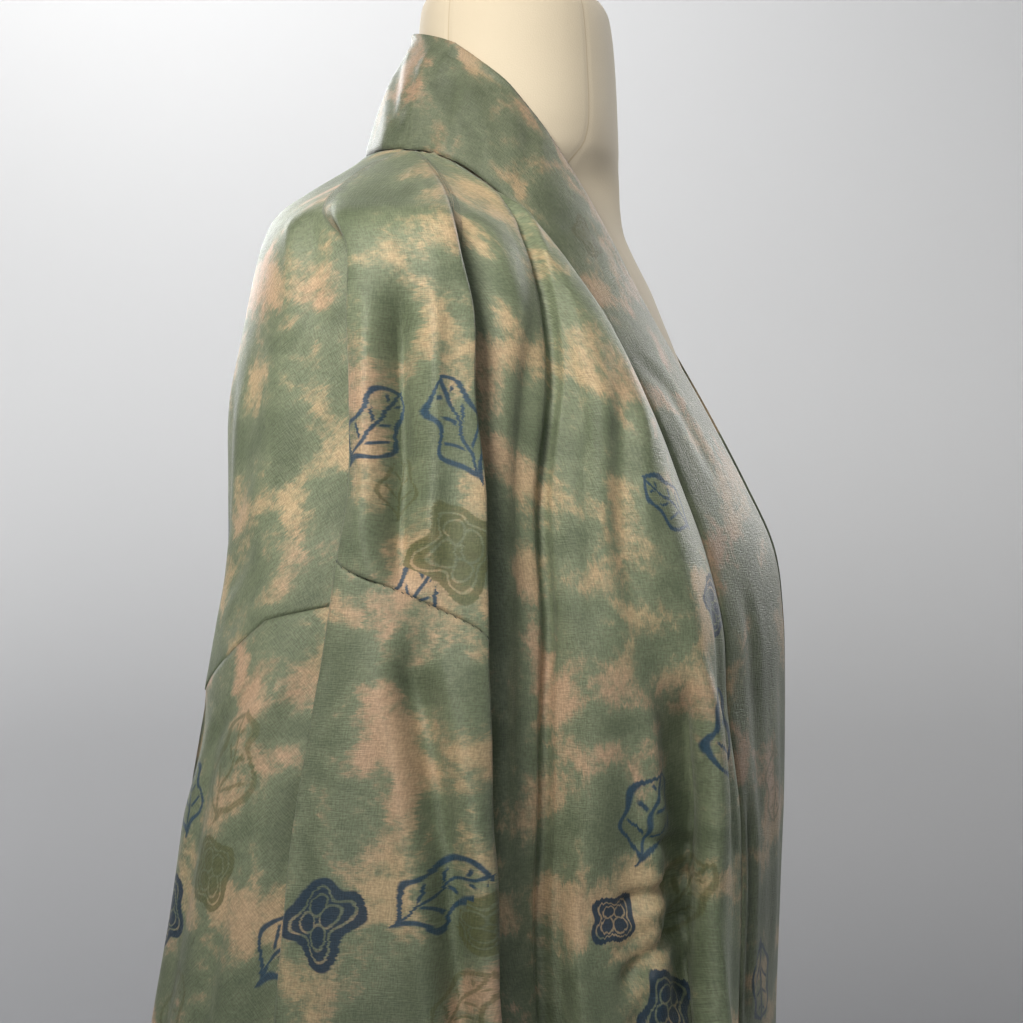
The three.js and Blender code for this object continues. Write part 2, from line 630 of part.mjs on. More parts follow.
function base() {
  const shoulder = BASE_HEIGHT - BASE_EDGE;
  return turned([[0, 0], [BASE_RADIUS, 0], [BASE_RADIUS, shoulder], [BASE_RADIUS - BASE_EDGE, BASE_HEIGHT],
    [0, BASE_HEIGHT]], 48);
}

function named(name, geometry, look) {
  const mesh = new THREE.Mesh(geometry, new THREE.MeshStandardMaterial(look));
  mesh.name = name;
  return mesh;
}

const haori = new THREE.Group();
haori.add(
  named('body_right', bodyPanel(RIGHT), CLOTH_LOOK),
  named('body_left', bodyPanel(LEFT), CLOTH_LOOK),
  named('sleeve_right', sleeve(RIGHT), CLOTH_LOOK),
  named('sleeve_left', sleeve(LEFT), CLOTH_LOOK),
  named('gusset_right', gusset(RIGHT), CLOTH_LOOK),
  named('gusset_left', gusset(LEFT), CLOTH_LOOK),
  named('collar', collarBand(), COLLAR_LOOK),
  named('dress_form', dressForm(), FORM_LOOK),
  named('stand_pole', pole(), STEEL_LOOK),
  named('stand_base', base(), BASE_LOOK),
);

export default haori;
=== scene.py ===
# A haori, the open kimono jacket, on a limbless dress form: the finish of every surface.
# The tables below are in millimetres, +Z up; the wearer faces -Y and has the right side at -X.

import json
import math

import bpy
import numpy as np
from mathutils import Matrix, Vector

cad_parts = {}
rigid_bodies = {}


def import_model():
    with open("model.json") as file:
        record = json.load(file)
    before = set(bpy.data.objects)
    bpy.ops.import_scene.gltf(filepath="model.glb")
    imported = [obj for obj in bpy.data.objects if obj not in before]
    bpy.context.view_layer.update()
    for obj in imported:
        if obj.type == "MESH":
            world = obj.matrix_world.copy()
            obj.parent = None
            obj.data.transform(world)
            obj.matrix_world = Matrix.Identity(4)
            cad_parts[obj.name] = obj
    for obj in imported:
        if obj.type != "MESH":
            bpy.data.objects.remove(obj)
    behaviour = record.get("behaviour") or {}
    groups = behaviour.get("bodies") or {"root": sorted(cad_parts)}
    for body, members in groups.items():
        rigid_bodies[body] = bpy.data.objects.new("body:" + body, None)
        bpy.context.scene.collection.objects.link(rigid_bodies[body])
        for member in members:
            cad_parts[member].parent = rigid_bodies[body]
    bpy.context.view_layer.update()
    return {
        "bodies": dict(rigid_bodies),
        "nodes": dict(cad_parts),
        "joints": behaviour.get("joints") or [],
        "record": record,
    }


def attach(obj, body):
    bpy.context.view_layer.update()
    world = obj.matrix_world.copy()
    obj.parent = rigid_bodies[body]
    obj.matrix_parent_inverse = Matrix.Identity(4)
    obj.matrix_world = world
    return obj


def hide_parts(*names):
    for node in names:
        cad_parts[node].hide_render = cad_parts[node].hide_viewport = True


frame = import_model()

MM = 0.001
RIGHT, LEFT = -1, 1

# Driving sizes of the cloth
CLOTH_WALL = 0.9
COLLAR_WALL = 2.2
SEAM_GAP = 0.35
COLLAR_SEAM_GAP = 0.5
SLEEVE_SEAM_GAP = 0.1
HEM_Z = 545
ARMHOLE_END_Z = 1060
FORM_CLEARANCE = 2.0
CLEARANCE_DROP = 2.0
SEAM_BLEND = 70
GUSSET_GAP = 0.6
GUSSET_TOP_Z = 1003
SEAM_ROLL_DEPTH = 0.9
SEAM_ROLL_WIDTH = 2.4
ARMHOLE_ROLL_DEPTH = 0.12
ARMHOLE_ROLL_WIDTH = 1.2
COLLAR_EDGE_DEPTH = 0.8
COLLAR_EDGE_WIDTH = 2.2

# A crease's shape: how soon it fades in from its ends, as a length and as a share of a short crease,
# and the low lips on both its sides, with their place and width in half widths of the crease
CREASE_FADE = 40
SHORT_CREASE_FADE = 1 / 4.5
LIP_HEIGHT = 0.28
LIP_PLACE = 2.1
LIP_WIDTH = 0.8

# Driving sizes of the form and its stand
NECK_TOP_Z = 1437
NECK_TOP_TILT = 0.05
TORSO_BOTTOM_Z = 690
POLE_RADIUS = 13
BASE_RADIUS = 165
BASE_HEIGHT = 16
BASE_EDGE = 5
POLE_EDGE = 0.8
BASE_FOOT = 1
SEAT_GAP = 0.3
POLE_SIDES = 48
POLE_STEPS = 20
BASE_SIDES = 96
BASE_STEPS = 8

# The armhole's hand stitches
STITCH_LENGTH = 1.7
STITCH_WIDTH = 0.4
STITCH_SPACING = 4.5
STITCH_SINK = 0.12
STITCH_LEAN = 0.3
STITCH_DROP = 0.3
STITCH_SIDES = 6
STITCH_RINGS = 5
STITCH_STATIONS = (2.2, 5.8)

# The leaf motif, in half lengths: two arcs with a wave along them, a line just inside them, and veins
LEAF_ARC_DROP = 0.533
LEAF_ARC_RADIUS = 1.133
LEAF_WAVES = 6.4
LEAF_WAVE_DEPTH = 0.085
LEAF_WAVE_SHIFT = 0.5
LEAF_LINE_INSET = 0.07
LEAF_VEIN_SLANT = 0.8
LEAF_VEINS = 2.1
LEAF_VEIN_START = 0.35

# Half the width of each line of the leaf and the softness of its edge, and where its veins fade
LEAF_LINE = (0.03, 0.05)
LEAF_RIB = (0.018, 0.04)
LEAF_VEIN = (0.045, 0.09)
LEAF_RIB_END = (-0.06, -0.02)
LEAF_VEIN_FOOT = (0.05, 0.1)
LEAF_VEIN_END = (-0.24, -0.16)

# The flower motif, in half lengths: its size, its lobes, the ring inside its rim, and its four cells
FLOWER_RADIUS = 0.76
FLOWER_LOBE = 0.12
FLOWER_RING_INSET = 0.21
FLOWER_RING = (0.012, 0.03)
FLOWER_CELL_PLACE = 0.28
FLOWER_CELL_RADIUS = 0.2
FLOWER_CELL_RIM = (0.008, 0.03)
FLOWER_EDGE = (-0.03, 0.02)
FLOWER_CELL_END = (-0.3, -0.22)
FLOWER_PALE = 0.75

# Where the clouds are taken from; the left side has others
CLOUD_SHIFT = (0.31, 0.17, 0.0)
LEFT_CLOTH_SHIFT = 2.7

# How far the dye runs along the warp: for the clouds in metres, for the motifs in millimetres
CLOUD_FEATHER = 0.004
MOTIF_FEATHER = 1.3

# How far each motif is bent out of its plain shape, in half lengths
MOTIF_BEND = 0.55

# How fine the cloth's patterns are, in waves to the metre; a pair is along the warp and across it
MOTIF_BEND_SCALES = (34, 44.2)
CLOUD_SCALE = 27
MOTTLE_SCALE = 300
TINT_SCALE = 9
JAG_SCALE = (22, 800)
WARP_SCALE = (170, 1700)
WEFT_SCALE = (1500, 230)
GRAIN_SCALE = 900

# Where the sage, its deeper middles and the pink of the tan set in, and how strong they are
MOTTLE_SHARE = 0.24
SAGE_RANGE = (0.355, 0.5)
DEEP_RANGE = (0.46, 0.65)
TINT_RANGE = (0.4, 0.62)
SAGE_SHARE = 0.94
DEEP_SHARE = 0.85

# How strong each kind of ink is
BLUE_SHARE = 0.95
NAVY_SHARE = 0.97
OLIVE_SHARE = 0.78
FAINT_SHARE = 0.6

# How dark and how light the threads make the cloth, and how much darker the collar's cloth is than the
# body's: partly darker dye, partly painted shade
GRAIN_RANGE = (1.1, 1.9)
DARK_THREAD = 0.68
LIGHT_THREAD = 1.06
COLLAR_DYE_AND_PAINTED_SHADE = 0.64
WEAVE_DEPTH = 0.00035

# The form's cotton: its weave and soft clouds, in waves to the metre, and its seams
COTTON_WEAVE_SCALE = 1400
COTTON_CLOUD_SCALE = 9
COTTON_CLOUD_RANGE = (0.35, 0.7)
COTTON_SEAM_RANGE = (0.72, 0.85)
COTTON_SEAM_SHARE = 0.6
COTTON_DEPTH = 0.00012

# Colours, and how fine the steel's lines are
TAN = (0.55, 0.42, 0.245)
PINK_TAN = (0.56, 0.385, 0.25)
SAGE = (0.19, 0.24, 0.148)
DEEP_SAGE = (0.105, 0.150, 0.088)
BLUE_INK = (0.022, 0.066, 0.115)
NAVY_INK = (0.016, 0.042, 0.075)
OLIVE_INK = (0.115, 0.125, 0.045)
COTTON = (0.57, 0.50, 0.38)
COTTON_SHADE = (0.54, 0.47, 0.355)
COTTON_SEAM = (0.42, 0.33, 0.21)
THREAD = (0.035, 0.05, 0.04)
ENAMEL_DARK = (0.018, 0.018, 0.02)
ENAMEL_LIGHT = (0.03, 0.03, 0.033)
STEEL_DARK = (0.30, 0.30, 0.32)
STEEL_LIGHT = (0.48, 0.48, 0.50)
STEEL_LINES = (900, 900, 30)
WALL_PAINT = (0.78, 0.79, 0.80)
# Painted shade: the grey that the wall turns toward the floor
FLOOR_PAINTED_SHADE_GREY = (0.32, 0.325, 0.34)

# The room, in metres: a floor with two inner rings, and a foot that curves up into the wall.
# The wall is grey below one height and pale above the other; the grey is painted shade, darker toward the
# floor.
FLOOR_RINGS = (0.05, 1.2)
FOOT_RADIUS = 0.6
FOOT_STEPS = 12
WALL_RADIUS = 3.8
WALL_HEIGHT = 3.6
ROOM_SIDES = 128
GREY_BELOW = -0.3
PALE_ABOVE = 1.5

# The lights and the camera, in metres, watts, degrees and millimetres of lens
WORLD_COLOUR = (0.93, 0.95, 1.0, 1)
WORLD_STRENGTH = 0.04
ROOM_POWER = 18
LIGHTS = [
    # name, place, target, size, power, colour, spread
    ("key", (-1.3, 0.32, 1.92), (-0.1, 0.08, 1.43), 0.5, 3.0, (1.0, 0.95, 0.87), 55),
    ("fill", (-1.5, -0.45, 1.75), (0, 0, 1.25), 1.0, 0.7, (0.95, 0.97, 1.0), 120),
    ("front_fill", (2.1, -1.7, 2.0), (0, 0, 1.1), 1.2, 7, (1.0, 0.98, 0.95), 70),
    ("rear_fill", (2.2, 1.5, 2.1), (0, 0, 1.1), 1.2, 7, (0.98, 0.99, 1.0), 70),
    ("front_wash", (0, -1.9, 3.2), (0, -WALL_RADIUS, 1.3), 1.6, ROOM_POWER, (1.0, 0.99, 0.98), 130),
    ("rear_wash", (0, 1.9, 3.2), (0, WALL_RADIUS, 1.3), 1.6, ROOM_POWER, (1.0, 0.99, 0.98), 130),
    ("far_wash", (-1.9, 0, 3.2), (-WALL_RADIUS, 0, 1.3), 1.6, ROOM_POWER, (1.0, 0.99, 0.98), 130),
    ("wall_wash", (1.7, 1.2, 3.3), (3.8, 0.7, 2.1), 1.6, 42, (1.0, 0.985, 0.97), 150),
    ("low_wash", (2.1, 2.7, 0.9), (3.3, 1.7, 0.7), 1.0, 9, (1.0, 0.985, 0.97), 120),
]
CAMERA_PLACE = (-1.0893, -0.1531, 1.148)
CAMERA_HEADING = 8
CAMERA_LENS = 69.1
CAMERA_SENSOR = 36

# Where the cloth passes, section by section, from the centre back round to the front edge.
# Each station is a distance out from the middle and a place front to back (+Y is back).
BACK_ROWS = [
    # z, then out and y of centre, blade, corner
    (1342, 0, 81, 30, 77.5, 62, 61),
    (1328, 0, 87, 38, 86, 74, 78),
    (1314, 0, 95, 55, 96, 98, 90),
    (1300, 0, 102, 70, 106, 115, 103),
    (1288, 0, 108, 75, 113, 120, 109),
    (1270, 0, 112, 80, 117, 122, 114),
    (1240, 0, 115, 85, 121, 126, 119),
    (1200, 0, 118, 90, 124, 132, 125),
    (1160, 0, 120, 90, 126, 138, 124),
    (1126, 0, 122, 90, 128, 140, 124),
    (1090, 0, 123, 90, 130, 143, 128.5),
    (1060, 0, 125, 90, 131, 145, 133),
]

# The part that falls off the shoulder: a flat strip whose two edges overlap the cloth beside it
STRIP_ROWS = [
    # z, then out and y of back leg, back tuck, back edge, middle, front edge, front tuck
    (1338, 76, 46.5, 77, 46, 78, 45.2, 78.6, 44, 78.8, 42.6, 79, 41.4),
    (1328, 90, 64, 94, 59, 97, 52, 99, 42, 98, 33, 94, 30),
    (1314, 119, 72, 125, 66, 129, 58, 132, 40, 129, 21, 121, 18),
    (1300, 147, 78, 154, 69, 160, 60, 163, 34, 160, 11, 147, 9),
    (1288, 163, 82, 172, 64, 184, 57, 187, 28, 184, 3, 166, 6),
    (1270, 170, 84, 179, 46, 195, 50, 198, 24, 191, -3, 172, 7),
    (1240, 171, 86, 180, 35, 197, 50, 201, 20, 192, -10, 174, 5),
    (1200, 171, 88, 179, 31, 198, 49, 203, 18, 194, -11, 175, 4),
    (1160, 172, 90, 179, 30, 200, 49, 205, 16, 197, -16, 176, 2),
    (1126, 176, 92, 180, 31, 204, 53, 208, 17, 199, -17, 177, 1),
    (1090, 180, 94, 182, 33, 206, 58, 210, 20, 201, -18, 178, 1),
    (1050, 184, 98, 185, 38, 208, 65, 213, 23, 203, -19, 180, 1),
    (1000, 187, 104, 187, 42, 210, 73, 215, 27, 206, -19, 183, 2),
    (950, 190, 110, 190, 46, 213, 77, 217, 29, 208, -18, 187, 3),
    (900, 192, 116, 193, 49, 214, 81, 219, 30, 210, -21, 190, 3),
    (840, 195, 122, 196, 52, 216, 84, 221, 30, 212, -22, 193, 2),
    (740, 202, 130, 203, 58, 222, 90, 227, 31, 218, -24, 199, 2),
    (640, 212, 138, 212, 64, 232, 96, 237, 33, 227, -26, 208, 2),
]

FRONT_ROWS = [
    # z, then out and y of roll, valley, side, bust, seam
    (1337, 79.1, 40.2, 79.2, 39, 79.3, 38, 79.4, 37, 79.5, 36),
    (1328, 93, 26, 92.5, 21, 92, 18.5, 91, 16.5, 90, 15),
    (1314, 115, 12, 108, -1, 105, -4, 102, -4.5, 99, -4),
    (1300, 135, 1, 118, -15, 113, -20, 108, -22, 104, -20),
    (1288, 152, -10, 126, -23, 121, -30, 114, -33, 107, -29),
    (1270, 163, -19, 137, -31, 134, -41, 122, -47, 110, -43),
    (1240, 166, -27, 144, -39, 146, -54, 131, -67, 112, -62.5),
    (1200, 167, -26, 149, -41, 154, -58, 138, -84, 112, -86),
    (1160, 167, -24, 151, -38, 159, -58, 142, -94, 110, -102),
    (1126, 167, -24, 152, -38, 160, -60, 142, -102, 107, -114),
    (1090, 167, -24, 152, -39, 160, -62, 140, -108, 105, -122),
    (1050, 166, -24, 151, -38, 158, -62, 137, -110, 103, -124),
    (1000, 165, -22, 150, -38, 156, -60, 133, -110, 101, -130),
    (950, 164, -20, 148, -37, 152, -56, 129, -106, 99, -131),
    (860, 168, -24, 152, -42, 158, -64, 134, -114, 94, -129),
    (760, 178, -28, 160, -46, 167, -70, 142, -120, 89, -131),
    (650, 188, -32, 168, -50, 177, -74, 150, -126, 84, -134),
    (545, 196, -34, 175, -52, 185, -78, 156, -130, 80, -138),
]

# Below the armholes the panels end at their side edges, joined by the gusset
SIDE_ROWS = [
    # z, then out and y of centre, blade, back panel's side edge, front panel's side edge
    (1060, 0, 125, 90, 131, 145, 133, 178, 1),
    (1040, 0, 126, 88, 131, 147, 105, 166, 10),
    (1015, 0, 127, 87, 131, 150, 72, 159, 18),
    (990, 0, 128, 86, 131, 151, 52, 156, 22),
    (940, 0, 130, 86, 133, 152, 54, 157, 25),
    (860, 0, 134, 90, 138, 158, 58, 163, 25),
    (760, 0, 138, 96, 144, 170, 62, 176, 20),
    (650, 0, 143, 102, 150, 182, 66, 188, 12),
    (545, 0, 148, 108, 157, 191, 70, 198, 4),
]

# The hanging sleeve: the back fold, and the inner layer that closes the tube
SLEEVE_ROWS = [
    # z, then out and y of back fold, inner layer near the front, inner layer near the back
    (1060, 145, 133, 168, 22, 161, 82),
    (1000, 148, 142.5, 171, 24, 162, 90),
    (950, 150, 149, 174, 26, 163, 96),
    (900, 152, 157, 177, 27, 165, 102),
    (840, 155, 165, 181, 28, 169, 108),
    (740, 164, 178, 190, 29, 180, 116),
    (640, 176, 190, 200, 30, 192, 124),
]

# Where the sleeve is sewn on, and how low its cuff hangs, at the sleeve's nine stations
SLEEVE_TOP_Z = [1060, 1096, 1112, 1126, 1110, 1090, 1060, 985, 980]
CUFF_Z = [652, 700, 744, 758, 782, 798, 790, 768, 700]

# Ring stations: 0 to 2 are the back, 3 to 8 the strip, 9 to 13 the front.
# The sleeve has nine stations of its own, and the lower ring has the gusset between 2 and 3.
STRIP_START = 2
STRIP_END = 8
ARMHOLE_STATIONS = 6
GUSSET_START = 2
NECK_POINT = 13
NECK_POINT_Z = 1337
DECIMETRE = 100
RING_STEP = 0.02
SEAM_STEP = 0.04
NECKLINE_Z = [1343, 1343, 1340.5, 1338.6, 1338.4, 1338.2, 1338, 1337.8, 1337.6, 1337.5, 1337.4, 1337.3,
              1337.2, 1337]

# How many strips of the fine mesh lie between one station and the next, and how many rows it has
BODY_COLUMNS = [34, 24, 20, 12, 9, 13, 17, 8, 8, 8, 12, 22, 18]
SLEEVE_COLUMNS = [18, 16, 10, 12, 16, 8, 12, 14, 14]
UPPER_ROWS = 108
VISIBLE_ROWS = 66
VISIBLE_END_Z = 860
HEM_ROWS = 46
SLEEVE_ROW_COUNT = 112
GUSSET_COLUMNS = 22
GUSSET_VISIBLE_ROWS = 48
GUSSET_PATTERN_START = 300
ROW_CROWDING = 1.15
COLLAR_CROWDING = 1.25

# The collar: where its seam runs and its free edge
COLLAR_ROWS = [
    # neckline station or 13 plus decimetres below the neck point, free edge out, y and z
    (0, 0, 54, 1414),
    (1, 25, 48, 1411),
    (2, 44, 34, 1404.5),
    (3, 51, 22, 1399),
    (13, 55, 12, 1391),
    (13.09, 59, -6, 1376),
    (13.23, 61.5, -24, 1355),
    (13.37, 62, -38, 1334),
    (13.49, 62, -49, 1316),
    (13.67, 61.5, -62, 1292),
    (13.97, 59, -81, 1255),
    (14.37, 51, -108, 1207),
    (14.77, 45, -131, 1163),
    (15.11, 41, -146.5, 1128),
    (15.47, 38.5, -151.5, 1091),
    (15.87, 37, -152.5, 1051),
    (16.37, 35.5, -152, 1001),
    (16.87, 33.5, -150, 951),
    (17.87, 31, -147, 851),
    (19.37, 28, -149, 701),
    (20.92, 26, -151, 546),
]
COLLAR_BULGE = 3.5
COLLAR_WIDTH = 72
COLLAR_ACROSS = 22
COLLAR_NAPE_STEPS = 70
COLLAR_FRONT_STEPS = 230

# The largest loose folds: where they start and end round the ring and up the cloth.
# A fold with a negative depth stands out.
FOLDS = [
    # side, ring station from, z from, ring station to, z to, depth, half width in stations, fade
    (RIGHT, 6.4, 1230, 6.3, 1095, 5, 0.33, 36),
    (RIGHT, 11.4, 1150, 11.5, 1010, 4, 0.3, 45),
    (RIGHT, 11.75, 1060, 12.0, 950, 7, 0.25, 40),
    (RIGHT, 0.46, 1060, 0.44, 500, 10, 0.19, 80),
    (RIGHT, 0.85, 1100, 0.8, 500, -8, 0.2, 80),
    (RIGHT, 1.2, 1160, 1.2, 500, 11, 0.17, 70),
    (RIGHT, 1.42, 1000, 1.42, 500, -6, 0.15, 90),
    (RIGHT, 1.62, 900, 1.62, 500, 7, 0.14, 90),
    (RIGHT, 10.98, 900, 11.0, 500, -7, 0.3, 100),
    (RIGHT, 11.5, 860, 11.55, 500, 11, 0.25, 100),
    (RIGHT, 12.15, 880, 12.2, 500, -6, 0.22, 90),
    (LEFT, 6.5, 1225, 6.4, 1095, 5, 0.35, 40),
    (LEFT, 11.2, 1140, 11.6, 990, 5, 0.3, 45),
    (LEFT, 11.9, 1050, 11.8, 930, 6, 0.25, 40),
    (LEFT, 0.44, 1040, 0.46, 500, 9, 0.19, 80),
    (LEFT, 0.8, 1110, 0.84, 500, -9, 0.2, 80),
    (LEFT, 1.2, 1150, 1.22, 500, 11, 0.17, 70),
    (LEFT, 1.44, 980, 1.44, 500, -6, 0.15, 90),
    (LEFT, 1.64, 880, 1.62, 500, 6, 0.13, 90),
    (LEFT, 11.05, 880, 11.0, 500, -8, 0.3, 100),
    (LEFT, 11.55, 900, 11.5, 500, 10, 0.25, 100),
    (LEFT, 12.2, 840, 12.15, 500, -6, 0.22, 90),
]

# The dress form, ring by ring
FORM_RINGS = [
    # z, half width, widest place's y, front y, back y, roundness
    (690, 146, 8, -90, 102, 2.1),
    (696, 152, 8, -95, 107, 2.1),
    (720, 158, 8, -98, 110, 2.1),
    (790, 164, 8, -104, 116, 2.1),
    (860, 148, 6, -98, 108, 2.1),
    (945, 115, 4, -84, 86, 2.1),
    (1020, 124, 6, -98, 90, 2.1),
    (1100, 140, 8, -121, 98, 2.0),
    (1130, 142, 10, -122, 101, 2.0),
    (1180, 146, 12, -113, 105, 1.9),
    (1220, 156, 16, -98, 105, 1.7),
    (1250, 172, 20, -86, 102, 1.5),
    (1270, 178, 24, -78, 97, 1.35),
    (1280, 181, 26, -73, 93, 1.25),
    (1290, 175, 28, -68, 88, 1.2),
    (1302, 152, 31, -63, 82, 1.15),
    (1316, 121, 34, -61, 74, 1.15),
    (1328, 91, 32, -60.5, 66, 1.25),
    (1338, 74, 20, -60, 58, 1.5),
    (1348, 61, 6, -60, 54, 1.85),
    (1362, 57.5, -2, -59.5, 53, 2),
    (1395, 56, -2, -58, 52, 2),
    (1420, 54.5, -2, -55.5, 51, 2),
    (1430, 51, -2, -52, 48, 2),
    (1435, 44, -2, -45, 41, 2),
    (1437, 30, -2, -31, 27, 2),
]
FORM_SIDES = 180
FORM_LEVEL_STEP = 5
FORM_SEAMS = [34, 90, 146, 232, 270, 308]
FORM_SEAM_DEPTH = 0.4


# Smooth curves through the tables

def hermite(start, end, start_slope, end_slope, share):
    square = share * share
    cube = square * share
    return ((2 * cube - 3 * square + 1) * start + (cube - 2 * square + share) * start_slope
            + (3 * square - 2 * cube) * end + (cube - square) * end_slope)


def smooth_columns(rows, places):
    """The columns of a table after the first, at many places along the first column."""
    table = np.asarray(rows, float)
    keys = table[:, 0]
    values = table[:, 1:]
    places = np.asarray(places, float)
    order = 1 if keys[-1] > keys[0] else -1
    last = len(keys) - 2
    i = np.clip(np.searchsorted(order * keys, order * places, side="left") - 1, 0, last)
    before, after = np.maximum(i - 1, 0), np.minimum(i + 2, len(keys) - 1)
    span = keys[i + 1] - keys[i]
    share = np.clip((places - keys[i]) / span, 0, 1)[:, None]
    start_slope = (values[i + 1] - values[before]) * (span / (keys[i + 1] - keys[before]))[:, None]
    end_slope = (values[after] - values[i]) * (span / (keys[after] - keys[i]))[:, None]
    return hermite(values[i], values[i + 1], start_slope, end_slope, share)


def stations(rows, z):
    """Each named station of a table at each height, as pairs of out and y."""
    return smooth_columns(rows, z).reshape(len(z), -1, 2)


def slope_through(before, here, after, gap_before, gap_after):
    """The slope at the middle of three unevenly spaced values; at an open end, the end's own chord."""
    at_start = gap_before < 1e-5
    at_end = gap_after < 1e-5
    gap_before = np.where(at_start, 1, gap_before)
    gap_after = np.where(at_end, 1, gap_after)
    middle = ((here - before) / gap_before - (after - before) / (gap_before + gap_after)
              + (after - here) / gap_after)
    inner = np.where(at_end, (here - before) / gap_before, middle)
    return np.where(at_start, (after - here) / gap_after, inner)


def along_ring(points, places, closed):
    """A smooth plan curve through each row's stations, at that row's place."""
    count = points.shape[1]
    last = count - 1 if closed else count - 2
    i = np.minimum(np.floor(places).astype(int), last)
    share = (places - i)[:, None]
    rows = np.arange(len(places))

    def at(k):
        return points[rows, k % count if closed else np.clip(k, 0, count - 1)]

    before, start, end, after = at(i - 1), at(i), at(i + 1), at(i + 2)

    def spacing(a, b):
        return (np.sqrt(np.hypot(*(a - b).T)) + 1e-6)[:, None]

    gap_before, gap, gap_after = spacing(before, start), spacing(start, end), spacing(end, after)
    start_slope = gap * slope_through(before, start, end, gap_before, gap)
    end_slope = gap * slope_through(start, end, after, gap, gap_after)
    return hermite(start, end, start_slope, end_slope, share)


def lerp_list(values, places, closed=False):
    values = np.asarray(values, float)
    i = np.minimum(np.floor(places).astype(int), len(values) - (1 if closed else 2))
    start, end = values[i], values[(i + 1) % len(values)]
    return start + (end - start) * (places - i)


def ring_places(steps, closed):
    places = [i + k / count for i, count in enumerate(steps) for k in range(count)]
    return np.array(places if closed else places + [len(steps)])


# The cloth's surface

def fold_depth(side, places, z):
    """How far the large folds push the cloth in."""
    depth = np.zeros(len(z))
    for fold_side, from_place, from_z, to_place, to_z, deep, half_width, fade in FOLDS:
        if fold_side != side:
            continue
        along = np.clip((from_z - z) / (from_z - to_z), 0, 1)
        across = (places - from_place - (to_place - from_place) * along) / half_width
        beyond = np.maximum(np.maximum(z - from_z, to_z - z), 0) / fade
        depth += deep * np.exp(-across ** 2 - beyond ** 2)
    return depth


def clear_of_form(points, wall=CLOTH_WALL):
    """Moves points of the cloth out where they come too near the dress form."""
    z = np.minimum(points[:, 2] - CLEARANCE_DROP, NECK_TOP_Z - 1)
    half_width, tip_y, front_y, back_y, roundness = smooth_columns(FORM_RINGS[::-1], z).T
    reach = np.where(points[:, 1] < tip_y, tip_y - front_y, back_y - tip_y)
    across = np.abs(points[:, 0]) / half_width
    deep = np.abs(points[:, 1] - tip_y) / reach
    share = (across ** roundness + deep ** roundness) ** (1 / roundness)
    distance = np.hypot(points[:, 0], points[:, 1] - tip_y)
    needed = 1 + (wall + FORM_CLEARANCE) / (distance / share)
    grow = np.where((share < needed) & (z >= TORSO_BOTTOM_Z), needed / share, 1)
    points[:, 0] *= grow
    points[:, 1] = tip_y + (points[:, 1] - tip_y) * grow
    return points


def folded(side, rings, ring_at, fold_at, z, closed):
    """Points on the rings, moved in by the large folds."""
    limit = rings.shape[1] if closed else rings.shape[1] - 1
    here = along_ring(rings, ring_at, closed)
    before = along_ring(rings, np.maximum(ring_at - RING_STEP, 0), closed)
    after = along_ring(rings, np.minimum(ring_at + RING_STEP, limit - 1e-6), closed)
    run = (after - before) / np.maximum(np.hypot(*(after - before).T), 1e-9)[:, None]
    depth = fold_depth(side, fold_at, z)
    out = here[:, 0] + run[:, 1] * depth
    y = here[:, 1] - run[:, 0] * depth
    return np.column_stack([side * out, y, z])


def upper_body(side, places, z):
    rings = np.concatenate([stations(rows, z) for rows in (BACK_ROWS, STRIP_ROWS, FRONT_ROWS)], axis=1)
    return folded(side, rings, places, places, z, False)


def lower_ring(side, ring_at, fold_at, z):
    rings = np.concatenate([stations(SIDE_ROWS, z), stations(FRONT_ROWS, z)], axis=1)
    return folded(side, rings, ring_at, fold_at, z, False)


def sleeve_surface(side, places, z):
    strip, inner = stations(STRIP_ROWS, z), stations(SLEEVE_ROWS, z)
    rings = np.concatenate([inner[:, :1], strip, inner[:, 1:]], axis=1)
    return folded(side, rings, places, places + STRIP_START, z, True)


def collar_seam(side, places):
    """The neckline and front edge of one side, at places counted as the collar's table counts them."""
    on_neck = np.minimum(places, NECK_POINT)
    neck = clear_of_form(upper_body(side, on_neck, lerp_list(NECKLINE_Z, on_neck)))
    z = np.maximum(NECK_POINT_Z - (places - NECK_POINT) * DECIMETRE, HEM_Z)
    edge = stations(FRONT_ROWS, z)[:, -1]
    front = clear_of_form(np.column_stack([side * edge[:, 0], edge[:, 1], z]))
    return np.where((places > NECK_POINT)[:, None], front, neck)
